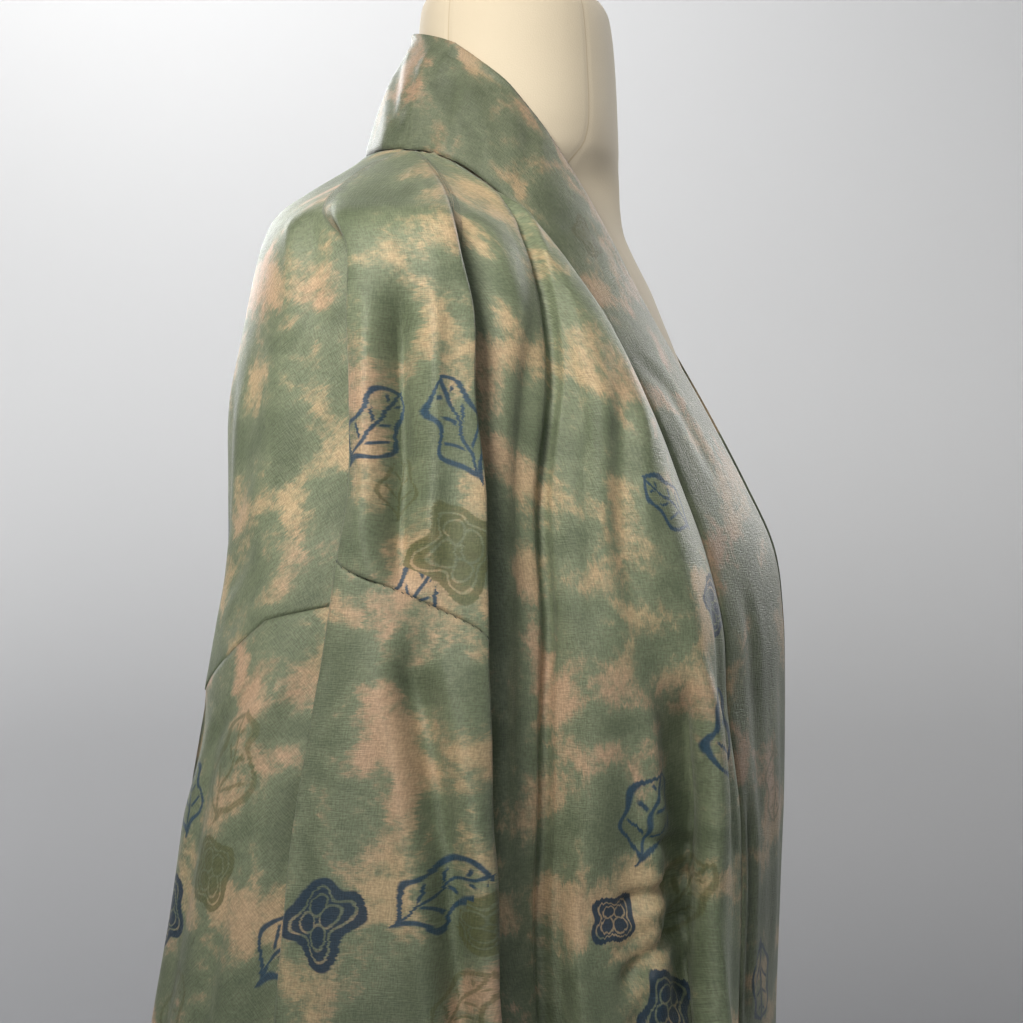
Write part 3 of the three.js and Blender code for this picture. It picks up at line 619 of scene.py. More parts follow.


# Creases of the cloth, placed one by one. A point is a ring station and a height.
# A crease with a negative depth is a ridge.
BODY_CREASES = [
    # side, line, depth, half width
    (RIGHT, [(12.5, 1331), (11.9, 1317), (10.6, 1301), (10.1, 1285), (10.0, 1268), (9.95, 1240),
             (10.0, 1210), (9.9, 1178), (9.85, 1150), (10.0, 1100), (9.94, 1010), (9.85, 912),
             (9.9, 700)], 4.4, 3.0),
    (RIGHT, [(10.7, 1225), (10.9, 1200), (11.0, 1160), (10.95, 1124), (11.05, 1075)], 4.0, 7.0),
    (RIGHT, [(11.6, 1215), (11.55, 1190), (11.4, 1130), (11.5, 1090)], 3.4, 6.0),
    (RIGHT, [(11.2, 1238), (11.25, 1190), (11.2, 1130)], -1.6, 6),
    (RIGHT, [(11.8, 1074), (11.92, 1044), (11.98, 1010), (12.03, 956), (12.0, 870),
             (12.0, 760)], 18.0, 9.5),
    (RIGHT, [(11.94, 1064), (12.02, 1040), (12.07, 1010), (12.1, 956), (12.08, 870)], 6.0, 4.0),
    (RIGHT, [(12.15, 1086), (12.22, 1040), (12.27, 1000), (12.3, 930), (12.25, 840)], -3.6, 5.0),
    (RIGHT, [(12.7, 1120), (12.7, 1040), (12.75, 960)], 1.6, 4),
    (RIGHT, [(10.95, 1062), (10.7, 1053), (10.4, 1046)], 0.9, 1.4),
    (RIGHT, [(12.2, 972), (11.9, 984), (11.4, 992)], 3.4, 3.2),
    (RIGHT, [(12.25, 962), (11.9, 966), (11.3, 958)], 4.2, 3.4),
    (RIGHT, [(12.25, 952), (11.9, 942), (11.3, 918)], 4.8, 4.0),
    (RIGHT, [(12.2, 940), (11.95, 918), (11.6, 884)], 4.6, 4.6),
    (RIGHT, [(12.1, 978), (11.8, 998), (11.5, 1014)], -1.8, 3.6),
    (RIGHT, [(12.1, 956), (11.7, 954), (11.2, 940)], -2.2, 3.6),
    (RIGHT, [(12.1, 944), (11.7, 928), (11.3, 898)], -2.2, 4),
    (RIGHT, [(11.0, 980), (11.1, 930), (11.0, 860)], 2.4, 8),
    (RIGHT, [(10.5, 1120), (10.45, 1040), (10.5, 960)], -1.4, 5),
    (RIGHT, [(9.3, 1250), (9.2, 1180), (9.3, 1100), (9.2, 960)], 3.2, 5),
    (RIGHT, [(8.7, 1270), (8.75, 1200), (8.7, 1120), (8.8, 1010), (8.9, 900)], -1.5, 4.5),
    (RIGHT, [(6.2, 1251), (6.5, 1246), (6.8, 1239)], -0.7, 1.6),
    (RIGHT, [(5.2, 1152), (5.7, 1149), (6.1, 1143)], -0.6, 1.8),
    (RIGHT, [(5.86, 1262), (5.88, 1236), (5.84, 1190), (5.82, 1144), (5.98, 1100)], 15.0, 7.5),
    (RIGHT, [(6.02, 1176), (6.04, 1150), (6.1, 1118)], 1.8, 2.2),
    (RIGHT, [(6.5, 1290), (6.42, 1250), (6.4, 1200), (6.45, 1140)], -2.4, 7),
    (RIGHT, [(5.45, 1240), (5.42, 1190), (5.4, 1120)], -2.2, 6),
    (RIGHT, [(3.5, 1296), (3.36, 1284), (3.26, 1258), (3.3, 1230)], 3.0, 6),
    (RIGHT, [(3.0, 1240), (2.9, 1180), (2.7, 1120)], -2.0, 10),
    (RIGHT, [(3.6, 1210), (3.2, 1165), (2.6, 1125), (2.1, 1100)], 2.0, 8),
    (RIGHT, [(3.4, 1150), (2.9, 1118), (2.3, 1085)], 1.4, 6),
    (RIGHT, [(2.2, 1230), (2.0, 1170), (1.8, 1100), (1.6, 1010)], 2.4, 8),
    (RIGHT, [(1.3, 1260), (1.1, 1190), (1.0, 1100)], 1.8, 9),
    (RIGHT, [(0.4, 1310), (0.9, 1296), (1.5, 1288)], 1.4, 6),
    (LEFT, [(12.5, 1331), (11.9, 1317), (10.7, 1301), (10.2, 1285), (10.05, 1268), (10.0, 1240),
            (9.95, 1205), (9.95, 1170), (10.05, 1110), (9.9, 1000), (9.95, 900), (9.9, 720)], 3.0, 3.6),
    (LEFT, [(10.8, 1218), (11.0, 1180), (10.9, 1120), (11.0, 1060)], 2.8, 7),
    (LEFT, [(11.7, 1205), (11.5, 1150), (11.6, 1100)], 2.0, 6),
    (LEFT, [(11.8, 1070), (12.0, 1020), (12.05, 940), (12.0, 860)], 3.0, 5),
    (LEFT, [(12.3, 1080), (12.4, 1000), (12.3, 900)], -2.0, 6),
    (LEFT, [(12.85, 950), (12.2, 962), (11.6, 972)], 1.8, 4.5),
    (LEFT, [(12.85, 942), (12.3, 930), (11.7, 905)], 2.2, 5),
    (LEFT, [(6.3, 1270), (6.35, 1210), (6.4, 1130)], 2.4, 5.5),
    (LEFT, [(6.8, 1280), (6.75, 1210), (6.7, 1140)], -1.5, 6),
    (LEFT, [(5.4, 1260), (5.45, 1180)], -1.0, 5),
    (LEFT, [(3.5, 1290), (3.3, 1250), (3.35, 1200)], 2.8, 6.5),
    (LEFT, [(3.5, 1190), (2.9, 1140), (2.2, 1095)], 2.0, 8),
    (LEFT, [(2.3, 1220), (2.0, 1140), (1.7, 1020)], 2.4, 9),
    (LEFT, [(1.2, 1250), (1.1, 1170), (1.2, 1080)], 1.8, 8),
    (LEFT, [(0.5, 1306), (1.0, 1294), (1.6, 1284)], 1.2, 6),
]

# On the sleeve's ring: 0 is the back fold, 4 the middle of the strip, 6 the front tuck
SLEEVE_CREASES = [
    # side, line, depth, half width
    (RIGHT, [(4.1, 1098), (4.12, 1074), (4.3, 1040), (4.42, 1005), (4.52, 980), (4.62, 930),
             (4.6, 830)], 14, 7.5),
    (RIGHT, [(4.6, 1100), (4.75, 1040), (4.9, 960), (4.95, 850)], -2.0, 7),
    (RIGHT, [(3.7, 1095), (3.6, 1000), (3.65, 900)], -1.4, 8),
    (RIGHT, [(3.3, 1110), (3.25, 1030), (3.3, 940), (3.2, 820)], 1.8, 7),
    (RIGHT, [(5.3, 1085), (5.4, 1010), (5.3, 900)], 1.8, 5),
    (RIGHT, [(1.5, 1092), (1.1, 1020), (0.9, 940), (0.8, 840)], 3.0, 8),
    (RIGHT, [(1.9, 1098), (1.7, 1040), (1.5, 950), (1.3, 820)], -2.0, 8),
    (RIGHT, [(0.6, 1060), (0.5, 1000), (0.4, 900), (0.35, 780)], 2.2, 7),
    (RIGHT, [(1.3, 1080), (0.8, 1055), (0.3, 1030)], 1.4, 5),
    (LEFT, [(4.1, 1098), (4.2, 1050), (4.4, 990), (4.45, 900), (4.5, 820)], 3.8, 6),
    (LEFT, [(4.7, 1095), (4.9, 1000), (4.85, 880)], -2.0, 7),
    (LEFT, [(3.3, 1110), (3.35, 1000), (3.25, 860)], 1.8, 7),
    (LEFT, [(1.4, 1088), (1.0, 1000), (0.85, 860)], 2.8, 8),
    (LEFT, [(1.8, 1095), (1.6, 1000), (1.4, 850)], -2.0, 8),
    (LEFT, [(0.6, 1050), (0.45, 940), (0.4, 800)], 2.0, 7),
]

# On the collar a point is a station of its table and a share across, 0 at the seam and 1 at the free edge
COLLAR_CREASES = [
    # side, line, depth, half width
    (RIGHT, [(2.6, 0.1), (1.6, 0.5), (0.6, 0.85)], 1.4, 4.5),
    (RIGHT, [(3.0, 0.1), (2.6, 0.5), (2.0, 0.9)], -1.2, 4),
    (RIGHT, [(13.06, 0.1), (13.02, 0.5), (3.0, 0.85)], 1.5, 4),
    (RIGHT, [(13.2, 0.08), (13.1, 0.45), (13.03, 0.8)], -1.2, 4.5),
    (RIGHT, [(13.3, 0.1), (13.28, 0.5), (13.2, 0.9)], 1.3, 4.5),
    (RIGHT, [(13.5, 0.2), (13.6, 0.6), (13.8, 0.9)], 1.0, 5),
    (RIGHT, [(14.1, 0.1), (14.3, 0.35), (14.8, 0.45)], 1.0, 5),
    (RIGHT, [(15.2, 0.3), (15.9, 0.35), (16.6, 0.3)], 1.4, 5),
    (RIGHT, [(16.2, 0.12), (16.8, 0.14), (17.6, 0.1)], 2.4, 3.2),
    (RIGHT, [(15.6, 0.7), (16.4, 0.65), (17.4, 0.7)], -1.0, 6),
    (LEFT, [(2.6, 0.1), (1.7, 0.5), (0.8, 0.85)], 1.3, 4.5),
    (LEFT, [(13.06, 0.1), (13.02, 0.5), (3.0, 0.85)], 1.4, 4),
    (LEFT, [(13.3, 0.1), (13.3, 0.5), (13.22, 0.9)], 1.2, 4.5),
    (LEFT, [(14.2, 0.1), (14.4, 0.35), (14.9, 0.45)], 1.0, 5),
    (LEFT, [(15.3, 0.3), (16.0, 0.35), (16.7, 0.3)], 1.3, 5),
    (LEFT, [(16.3, 0.12), (16.9, 0.14), (17.7, 0.1)], 2.0, 3.5),
]

# Ikat motifs of the cloth. The kinds are numbered as the cloth's material tells them apart.
BLUE_LEAF, NAVY_FLOWER, OLIVE_FLOWER, OLIVE_LEAF = 1, 2, 3, 4
BODY_MOTIFS = [
    # side, kind, station, z, half length, turn in degrees from level
    (RIGHT, BLUE_LEAF, 5.5, 1186, 22, 55),
    (RIGHT, BLUE_LEAF, 6.6, 1186, 26, 112),
    (RIGHT, OLIVE_FLOWER, 6.5, 1130, 28, 108),
    (RIGHT, BLUE_LEAF, 6.05, 1106, 20, 60),
    (RIGHT, OLIVE_LEAF, 5.8, 1160, 15, 80),
    (RIGHT, BLUE_LEAF, 12.1, 1152, 18, 140),
    (RIGHT, NAVY_FLOWER, 12.75, 1102, 18, 70),
    (RIGHT, BLUE_LEAF, 12.55, 1038, 24, 92),
    (RIGHT, BLUE_LEAF, 11.56, 1000, 24, 78),
    (RIGHT, NAVY_FLOWER, 11.3, 952, 17, 45),
    (RIGHT, NAVY_FLOWER, 11.76, 908, 20, 115),
    (RIGHT, OLIVE_LEAF, 12.0, 956, 22, 60),
    (RIGHT, OLIVE_FLOWER, 11.2, 868, 22, 80),
    (RIGHT, BLUE_LEAF, 12.3, 838, 25, 100),
    (RIGHT, OLIVE_LEAF, 10.9, 800, 24, 95),
    (RIGHT, NAVY_FLOWER, 12.2, 752, 21, 60),
    (RIGHT, BLUE_LEAF, 11.3, 716, 25, 75),
    (RIGHT, OLIVE_FLOWER, 12.5, 668, 23, 110),
    (RIGHT, BLUE_LEAF, 11.8, 620, 24, 95),
    (RIGHT, BLUE_LEAF, 1.1, 1212, 25, 75),
    (RIGHT, OLIVE_FLOWER, 0.6, 1160, 23, 100),
    (RIGHT, NAVY_FLOWER, 1.5, 1128, 21, 60),
    (RIGHT, OLIVE_LEAF, 0.5, 1075, 25, 80),
    (RIGHT, BLUE_LEAF, 1.2, 1030, 25, 110),
    (RIGHT, NAVY_FLOWER, 0.6, 975, 22, 70),
    (RIGHT, OLIVE_FLOWER, 1.3, 905, 24, 95),
    (RIGHT, BLUE_LEAF, 0.6, 850, 25, 80),
    (RIGHT, NAVY_FLOWER, 1.4, 780, 21, 50),
    (RIGHT, OLIVE_LEAF, 0.7, 720, 25, 100),
    (RIGHT, BLUE_LEAF, 1.3, 650, 25, 75),
    (LEFT, BLUE_LEAF, 5.7, 1200, 24, 70),
    (LEFT, OLIVE_FLOWER, 6.6, 1160, 25, 100),
    (LEFT, NAVY_FLOWER, 11.6, 1140, 20, 60),
    (LEFT, BLUE_LEAF, 12.4, 1080, 24, 95),
    (LEFT, OLIVE_LEAF, 11.4, 1040, 23, 80),
    (LEFT, NAVY_FLOWER, 12.3, 980, 20, 110),
    (LEFT, BLUE_LEAF, 11.5, 930, 24, 75),
    (LEFT, OLIVE_FLOWER, 12.3, 865, 23, 90),
    (LEFT, BLUE_LEAF, 11.4, 800, 24, 105),
    (LEFT, NAVY_FLOWER, 12.3, 730, 21, 70),
    (LEFT, OLIVE_LEAF, 11.5, 665, 24, 85),
    (LEFT, BLUE_LEAF, 12.2, 605, 24, 100),
    (LEFT, NAVY_FLOWER, 1.2, 1200, 22, 80),
    (LEFT, BLUE_LEAF, 0.6, 1130, 25, 100),
    (LEFT, OLIVE_LEAF, 1.4, 1085, 25, 75),
    (LEFT, OLIVE_FLOWER, 0.7, 1020, 24, 95),
    (LEFT, BLUE_LEAF, 1.3, 950, 25, 60),
    (LEFT, NAVY_FLOWER, 0.6, 895, 21, 100),
    (LEFT, BLUE_LEAF, 1.2, 820, 25, 85),
    (LEFT, OLIVE_FLOWER, 0.5, 760, 23, 75),
    (LEFT, OLIVE_LEAF, 1.3, 700, 25, 100),
    (LEFT, NAVY_FLOWER, 0.8, 630, 21, 60),
]
SLEEVE_MOTIFS = [
    # side, kind, station, z, half length, turn in degrees from level
    (RIGHT, NAVY_FLOWER, 3.5, 962, 26, 8),
    (RIGHT, BLUE_LEAF, 4.42, 973, 25, 28),
    (RIGHT, OLIVE_FLOWER, 4.95, 962, 20, 70),
    (RIGHT, OLIVE_LEAF, 4.62, 922, 21, 60),
    (RIGHT, BLUE_LEAF, 1.45, 948, 27, 50),
    (RIGHT, OLIVE_LEAF, 0.82, 1026, 28, 75),
    (RIGHT, OLIVE_FLOWER, 0.76, 975, 20, 30),
    (RIGHT, BLUE_LEAF, 0.3, 1008, 19, 100),
    (RIGHT, NAVY_FLOWER, 0.2, 950, 22, 70),
    (RIGHT, OLIVE_LEAF, 0.5, 905, 22, 65),
    (RIGHT, OLIVE_FLOWER, 3.4, 858, 22, 30),
    (RIGHT, BLUE_LEAF, 4.4, 845, 25, 15),
    (RIGHT, NAVY_FLOWER, 1.2, 850, 22, 40),
    (RIGHT, BLUE_LEAF, 0.6, 790, 25, 60),
    (LEFT, BLUE_LEAF, 3.6, 1030, 25, 10),
    (LEFT, NAVY_FLOWER, 4.5, 990, 22, 40),
    (LEFT, OLIVE_FLOWER, 3.5, 935, 23, 20),
    (LEFT, BLUE_LEAF, 4.5, 890, 25, 160),
    (LEFT, OLIVE_LEAF, 3.6, 850, 24, 15),
    (LEFT, NAVY_FLOWER, 1.1, 1010, 22, 40),
    (LEFT, BLUE_LEAF, 0.7, 930, 25, 60),
    (LEFT, OLIVE_FLOWER, 1.2, 860, 23, 45),
    (LEFT, BLUE_LEAF, 0.6, 770, 25, 60),
]
COLLAR_MOTIFS = [
    # side, kind, station of the collar, share across, half length, turn in degrees from level
    (RIGHT, OLIVE_FLOWER, 13.62, 0.5, 15, 50),
    (RIGHT, BLUE_LEAF, 17.3, 0.35, 22, 95),
    (RIGHT, OLIVE_LEAF, 16.3, 0.6, 20, 85),
    (RIGHT, NAVY_FLOWER, 18.3, 0.55, 19, 80),
    (RIGHT, BLUE_LEAF, 19.3, 0.4, 23, 100),
    (RIGHT, OLIVE_FLOWER, 20.1, 0.55, 20, 90),
    (LEFT, BLUE_LEAF, 14.6, 0.5, 22, 85),
    (LEFT, NAVY_FLOWER, 15.8, 0.5, 19, 60),
    (LEFT, OLIVE_LEAF, 16.9, 0.45, 21, 95),
    (LEFT, BLUE_LEAF, 18.0, 0.5, 23, 80),
    (LEFT, OLIVE_FLOWER, 19.2, 0.5, 20, 100),
    (LEFT, NAVY_FLOWER, 20.2, 0.45, 19, 70),
]
MOTIF_REACH = 1.3
KIND_MARGIN = 0.3
NO_MOTIF = 9.0

# Which way the warp runs at the ring's stations, in degrees from level
BODY_WARP = [(0, 90), (0.9, 90), (1.7, 42), (3.9, 42), (4.5, 0), (7.5, 0), (8.3, 90), (13, 90)]
SLEEVE_WARP = [(-1.5, 0), (-0.6, 0), (0, 42), (1.5, 42), (2.2, 0), (7.5, 0)]

# Where each stretch of the body's cloth counts its pattern from, and the stations where it changes
BACK_ANCHOR, STRIP_ANCHOR, FRONT_ANCHOR, SLEEVE_ANCHOR = 0, 5, 13, 3
STRIP_CLOTH = (3.95, 8.05)
SLEEVE_CUT_STATION = 7.5
SLEEVE_STATIONS = 9


# From grids of points to thin closed walls

class Sheet:
    """A grid of points of the cloth with its stations, its heights and its distance along each row."""

    def __init__(self, points, places, side, closed=False):
        self.rows, self.columns = places.shape
        self.points = points.reshape(self.rows, self.columns, 3)
        self.places = places
        self.side = side
        self.closed = closed
        steps = np.linalg.norm(np.diff(self.points, axis=1), axis=2)
        self.along = np.concatenate([np.zeros((self.rows, 1)), np.cumsum(steps, axis=1)], axis=1)
        self.z = self.points[:, :, 2].copy()

    def along_at(self, place):
        """The distance along each row at one station."""
        rows = [np.interp(place, self.places[r], self.along[r]) for r in range(self.rows)]
        return np.array(rows)[:, None]

    def down(self):
        """The distance down each column from its first point."""
        steps = np.linalg.norm(np.diff(self.points, axis=0), axis=2)
        return np.concatenate([np.zeros((1, self.columns)), np.cumsum(steps, axis=0)])

    def normals(self):
        """The outward direction at every point."""
        points = self.points
        if self.closed:
            points = np.concatenate([points[:, -1:], points, points[:, :1]], axis=1)
        across = np.gradient(points, axis=1)
        down = np.gradient(points, axis=0)
        if self.closed:
            across, down = across[:, 1:-1], down[:, 1:-1]
        normal = -self.side * np.cross(down, across)
        return normal / np.maximum(np.linalg.norm(normal, axis=2), 1e-9)[:, :, None]

    def line_distance(self, line):
        """How far a line of stations and heights is, the share of it passed, 0 to 1, and its length."""
        nearest = np.full(self.z.shape, np.inf)
        passed = np.zeros(self.z.shape)
        lengths = [0.0]
        for (place_a, z_a), (place_b, z_b) in zip(line, line[1:]):
            middle = int(np.argmin(np.abs(self.z[:, self.columns // 2] - (z_a + z_b) / 2)))
            run = (np.interp(place_b, self.places[middle], self.along[middle])
                   - np.interp(place_a, self.places[middle], self.along[middle]))
            lengths.append(lengths[-1] + math.hypot(run, z_b - z_a))
        for k, ((place_a, z_a), (place_b, z_b)) in enumerate(zip(line, line[1:])):
            a_x, b_x = self.along_at(place_a), self.along_at(place_b)
            run_x, run_z = b_x - a_x, z_b - z_a
            length = np.maximum(run_x ** 2 + run_z ** 2, 1e-6)
            share = np.clip(((self.along - a_x) * run_x + (self.z - z_a) * run_z) / length, 0, 1)
            distance = np.hypot(self.along - a_x - share * run_x, self.z - z_a - share * run_z)
            closer = distance < nearest
            nearest = np.where(closer, distance, nearest)
            part = (lengths[k] + share * (lengths[k + 1] - lengths[k])) / lengths[-1]
            passed = np.where(closer, part, passed)
        return nearest, passed, lengths[-1]

    def crease(self, creases):
        """How far the creases of this side push the cloth in; each fades toward both its ends."""
        depth = np.zeros(self.z.shape)
        for crease_side, line, deep, half_width in creases:
            if crease_side != self.side:
                continue
            distance, passed, length = self.line_distance(line)
            ends = max(1 / SHORT_CREASE_FADE, length / CREASE_FADE)
            fade = np.clip(np.minimum(passed, 1 - passed) * ends, 0, 1)
            reach = distance / half_width
            shape = np.exp(-reach ** 2) - LIP_HEIGHT * np.exp(-((reach - LIP_PLACE) / LIP_WIDTH) ** 2)
            depth += deep * shape * fade * fade * (3 - 2 * fade)
        return depth

    def motif_frames(self, motifs, warp):
        """For each motif of this side: every point's place in it, its kind, the warp and the distance."""
        frames = []
        for motif_side, kind, station, z, half_length, turn in motifs:
            if motif_side != self.side:
                continue
            x = (self.along - self.along_at(station)) / half_length
            y = (self.z - z) / half_length
            angle = math.radians(turn)
            cosine, sine = math.cos(angle), math.sin(angle)
            lean = warp - angle
            frame = [x * cosine + y * sine, y * cosine - x * sine, np.full(x.shape, kind),
                     np.cos(lean) / half_length, np.sin(lean) / half_length, np.hypot(x, y)]
            frames.append(np.stack(frame, axis=2).reshape(-1, 6))
        return np.array(frames).reshape(-1, self.z.size, 6)

    def layers(self, warp, motifs, anchor=0.0):
        """The cloth's own coordinates, in metres, also along the threads, and the motifs' frames."""
        along, up = (self.along - anchor) * MM, self.z * MM
        shift = LEFT_CLOTH_SHIFT if self.side == LEFT else 0.0
        cosine, sine = np.cos(warp), np.sin(warp)
        thread = np.stack([along * cosine + up * sine, up * cosine - along * sine], axis=2)
        return {
            "cloth": np.stack([along + shift, up], axis=2).reshape(-1, 2),
            "thread": thread.reshape(-1, 2),
            "warp": np.stack([cosine, sine, np.zeros(warp.shape)], axis=2).reshape(-1, 3),
            "motifs": self.motif_frames(motifs, warp),
        }


def grid_faces(rows, columns, closed, side):
    """The four-sided faces of a grid of points, counted row by row."""
    index = np.arange(rows * columns).reshape(rows, columns)
    if closed:
        index = np.concatenate([index, index[:, :1]], axis=1)
    a, b = index[:-1, :-1], index[1:, :-1]
    c, d = index[1:, 1:], index[:-1, 1:]
    order = (a, b, c, d) if side == RIGHT else (a, d, c, b)
    return np.stack([corner.ravel() for corner in order], axis=1)


def vertex_normals(points, faces):
    normals = np.zeros_like(points)
    a, b, c, d = (points[faces[:, corner]] for corner in range(4))
    face_normal = np.cross(c - a, d - b)
    for corner in range(4):
        np.add.at(normals, faces[:, corner], face_normal)
    return normals / np.maximum(np.linalg.norm(normals, axis=1), 1e-9)[:, None]


def rim_edges(faces, count):
    """The open edges of a sheet, as pairs of points in the faces' own direction."""
    start, end = faces.ravel(), np.roll(faces, -1, axis=1).ravel()
    there, back = start * count + end, end * count + start
    open_edge = ~np.isin(there, back)
    return start[open_edge], end[open_edge]


def used_only(points, faces, layers):
    """Drops the points that no face has."""
    kept, place = np.unique(faces, return_inverse=True)
    kept_layers = {name: values[kept] for name, values in layers.items() if name != "motifs"}
    kept_layers["motifs"] = layers["motifs"][:, kept]
    return points[kept], place.reshape(faces.shape), kept_layers


def motif_corners(frames, faces):
    """For each face's corners, the place in the frame of the motif that is nearest to the face."""
    corners = np.full(faces.shape + (6,), NO_MOTIF)
    nearest = np.full(len(faces), MOTIF_REACH)
    for frame in frames:
        distance = frame[:, 5][faces].mean(axis=1)
        closer = distance < nearest
        nearest = np.where(closer, distance, nearest)
        corners[closer] = frame[faces[closer]]
    return corners


def smooth_object(mesh, material):
    """The scene's object for a mesh, shaded smooth and with the mesh's name."""
    mesh.polygons.foreach_set("use_smooth", [True] * len(mesh.polygons))
    mesh.materials.append(material)
    obj = bpy.data.objects.new(mesh.name, mesh)
    bpy.context.scene.collection.objects.link(obj)
    return obj


def wall_object(name, points, faces, wall, layers, material):
    """A thin closed wall, in metres, from the sheet of its outer points in millimetres."""
    points, faces, layers = used_only(points, faces, layers)
    count = len(points)
    inner = points - vertex_normals(points, faces) * wall
    start, end = rim_edges(faces, count)
    rim = np.stack([end, start, start + count, end + count], axis=1)
    all_faces = np.concatenate([faces, faces[:, ::-1] + count, rim])
    mesh = bpy.data.meshes.new(name)
    mesh.from_pydata((np.concatenate([points, inner]) * MM).tolist(), [], all_faces.tolist())
    corners = all_faces.ravel() % count
    nearest = motif_corners(layers.pop("motifs"), faces)
    nearest = np.concatenate([nearest, nearest[:, ::-1], np.full(rim.shape + (6,), NO_MOTIF)])
    nearest = nearest.reshape(-1, 6).astype(np.float32)
    for layer, part in (("motif_place", nearest[:, :3]), ("motif_grain", nearest[:, 3:])):
        mesh.attributes.new(layer, "FLOAT_VECTOR", "CORNER").data.foreach_set("vector", part.ravel())
    for layer, values in layers.items():
        if values.shape[1] == 2:
            uv = mesh.uv_layers.new(name=layer)
            uv.data.foreach_set("uv", values[corners].astype(np.float32).ravel())
        else:
            attribute = mesh.attributes.new(layer, "FLOAT_VECTOR", "POINT")
            doubled = np.concatenate([values, values]).astype(np.float32)
            attribute.data.foreach_set("vector", doubled.ravel())
    return smooth_object(mesh, material)


def plain_object(name, vertices, faces, material):
    """A smooth object from points in metres."""
    mesh = bpy.data.meshes.new(name)
    mesh.from_pydata([tuple(v) for v in vertices], [], [tuple(f) for f in faces])
    return smooth_object(mesh, material)


def warp_angle(table, places):
    keys, angles = zip(*table)
    return np.radians(np.interp(places, keys, angles))


def seam_roll(distance, depth=SEAM_ROLL_DEPTH, width=SEAM_ROLL_WIDTH):
    """How far the cloth turns in beside a seam."""
    return depth * np.exp(-(np.maximum(distance, 0) / width) ** 2)


def named(piece, side):
    return piece + ("_right" if side == RIGHT else "_left")


# The garment's pieces

def body_panel(side, material):
    """Back, shoulder strip and front in one cloth; below the armhole the strip is cut away."""
    places = ring_places(BODY_COLUMNS, False)
    on_strip = (places > STRIP_START) & (places < STRIP_END)
    armhole_z = lerp_list(SLEEVE_TOP_Z, np.clip(places - STRIP_START, 0, ARMHOLE_STATIONS))
    top, bottom = lerp_list(NECKLINE_Z, places), np.where(on_strip, armhole_z, ARMHOLE_END_Z)
    share = np.linspace(0, 1, UPPER_ROWS + 1)[:, None] ** ROW_CROWDING
    upper_z = top + (bottom - top) * share
    upper_places = np.broadcast_to(places, upper_z.shape)
    upper = upper_body(side, upper_places.ravel(), upper_z.ravel())

    heights = np.concatenate([np.linspace(ARMHOLE_END_Z, VISIBLE_END_Z, VISIBLE_ROWS + 1)[1:],
                              np.linspace(VISIBLE_END_Z, HEM_Z, HEM_ROWS + 1)[1:]])
    lower_places, lower_z = np.meshgrid(places, heights)
    across_gusset = GUSSET_START + (lower_places - STRIP_START) / (STRIP_END - STRIP_START)
    ring_at = np.where(lower_places <= STRIP_START, lower_places, across_gusset)
    ring_at = np.where(lower_places >= STRIP_END, lower_places - (STRIP_END - GUSSET_START - 1), ring_at)
    lower = lower_ring(side, ring_at.ravel(), lower_places.ravel(), lower_z.ravel())

    station = np.concatenate([upper_places, lower_places])
    sheet = Sheet(clear_of_form(np.concatenate([upper, lower])), station, side)
    yoke = Sheet(sheet.points[:UPPER_ROWS + 1], upper_places, side)
    normals = sheet.normals()
    normals[:UPPER_ROWS + 1, on_strip] = yoke.normals()[:, on_strip]

    down = sheet.down()
    depth = sheet.crease(BODY_CREASES)
    depth += seam_roll(sheet.along[:, -1:] - sheet.along) + seam_roll(sheet.along) + seam_roll(down)
    above_seam = down[UPPER_ROWS] - down
    armhole = seam_roll(above_seam, ARMHOLE_ROLL_DEPTH, ARMHOLE_ROLL_WIDTH)
    depth += np.where(on_strip & (above_seam >= 0), armhole, 0)
    points = clear_of_form((sheet.points - normals * depth[:, :, None]).reshape(-1, 3))
    points[:, 2] = np.maximum(points[:, 2], HEM_Z)
    points[station.ravel() == 0, 0] = side * SEAM_GAP / 2

    faces = grid_faces(sheet.rows, sheet.columns, False, side)
    row, column = np.divmod(np.arange(len(faces)), sheet.columns - 1)
    cut_away = (row >= UPPER_ROWS) & (places[column] >= STRIP_START) & (places[column + 1] <= STRIP_END)
    anchor = np.where(station < STRIP_CLOTH[0], sheet.along_at(BACK_ANCHOR), sheet.along_at(STRIP_ANCHOR))
    anchor = np.where(station > STRIP_CLOTH[1], sheet.along_at(FRONT_ANCHOR), anchor)
    layers = sheet.layers(warp_angle(BODY_WARP, station), BODY_MOTIFS, anchor)
    return wall_object(named("body_panel", side), points, faces[~cut_away], CLOTH_WALL, layers, material)


def sleeve_sheet(side):
    """The sleeve's tube: its top edge follows the armhole and the inner layer starts below it."""
    places = ring_places(SLEEVE_COLUMNS, True)
    places = np.sort(np.where(places >= SLEEVE_CUT_STATION, places - SLEEVE_STATIONS, places))
    on_ring = places % SLEEVE_STATIONS
    top = lerp_list(SLEEVE_TOP_Z, on_ring, True) - SLEEVE_SEAM_GAP
    bottom = lerp_list(CUFF_Z, on_ring, True)
    z = top + (bottom - top) * np.linspace(0, 1, SLEEVE_ROW_COUNT + 1)[:, None]
    ring_at = np.broadcast_to(on_ring, z.shape).ravel()
    points = sleeve_surface(side, ring_at, z.ravel())
    below = np.clip((top - z) / SEAM_BLEND, 0, 1).ravel()
    on_arm = ring_at <= ARMHOLE_STATIONS
    share = np.where(on_arm, 1 - below * below * (3 - 2 * below), 0)[:, None]
    on_body = np.minimum(ring_at, ARMHOLE_STATIONS) + STRIP_START
    near = clear_of_form(upper_body(side, on_body, z.ravel()))
    station = np.broadcast_to(places, z.shape)
    return Sheet(points + (near - points) * share, station, side, True)


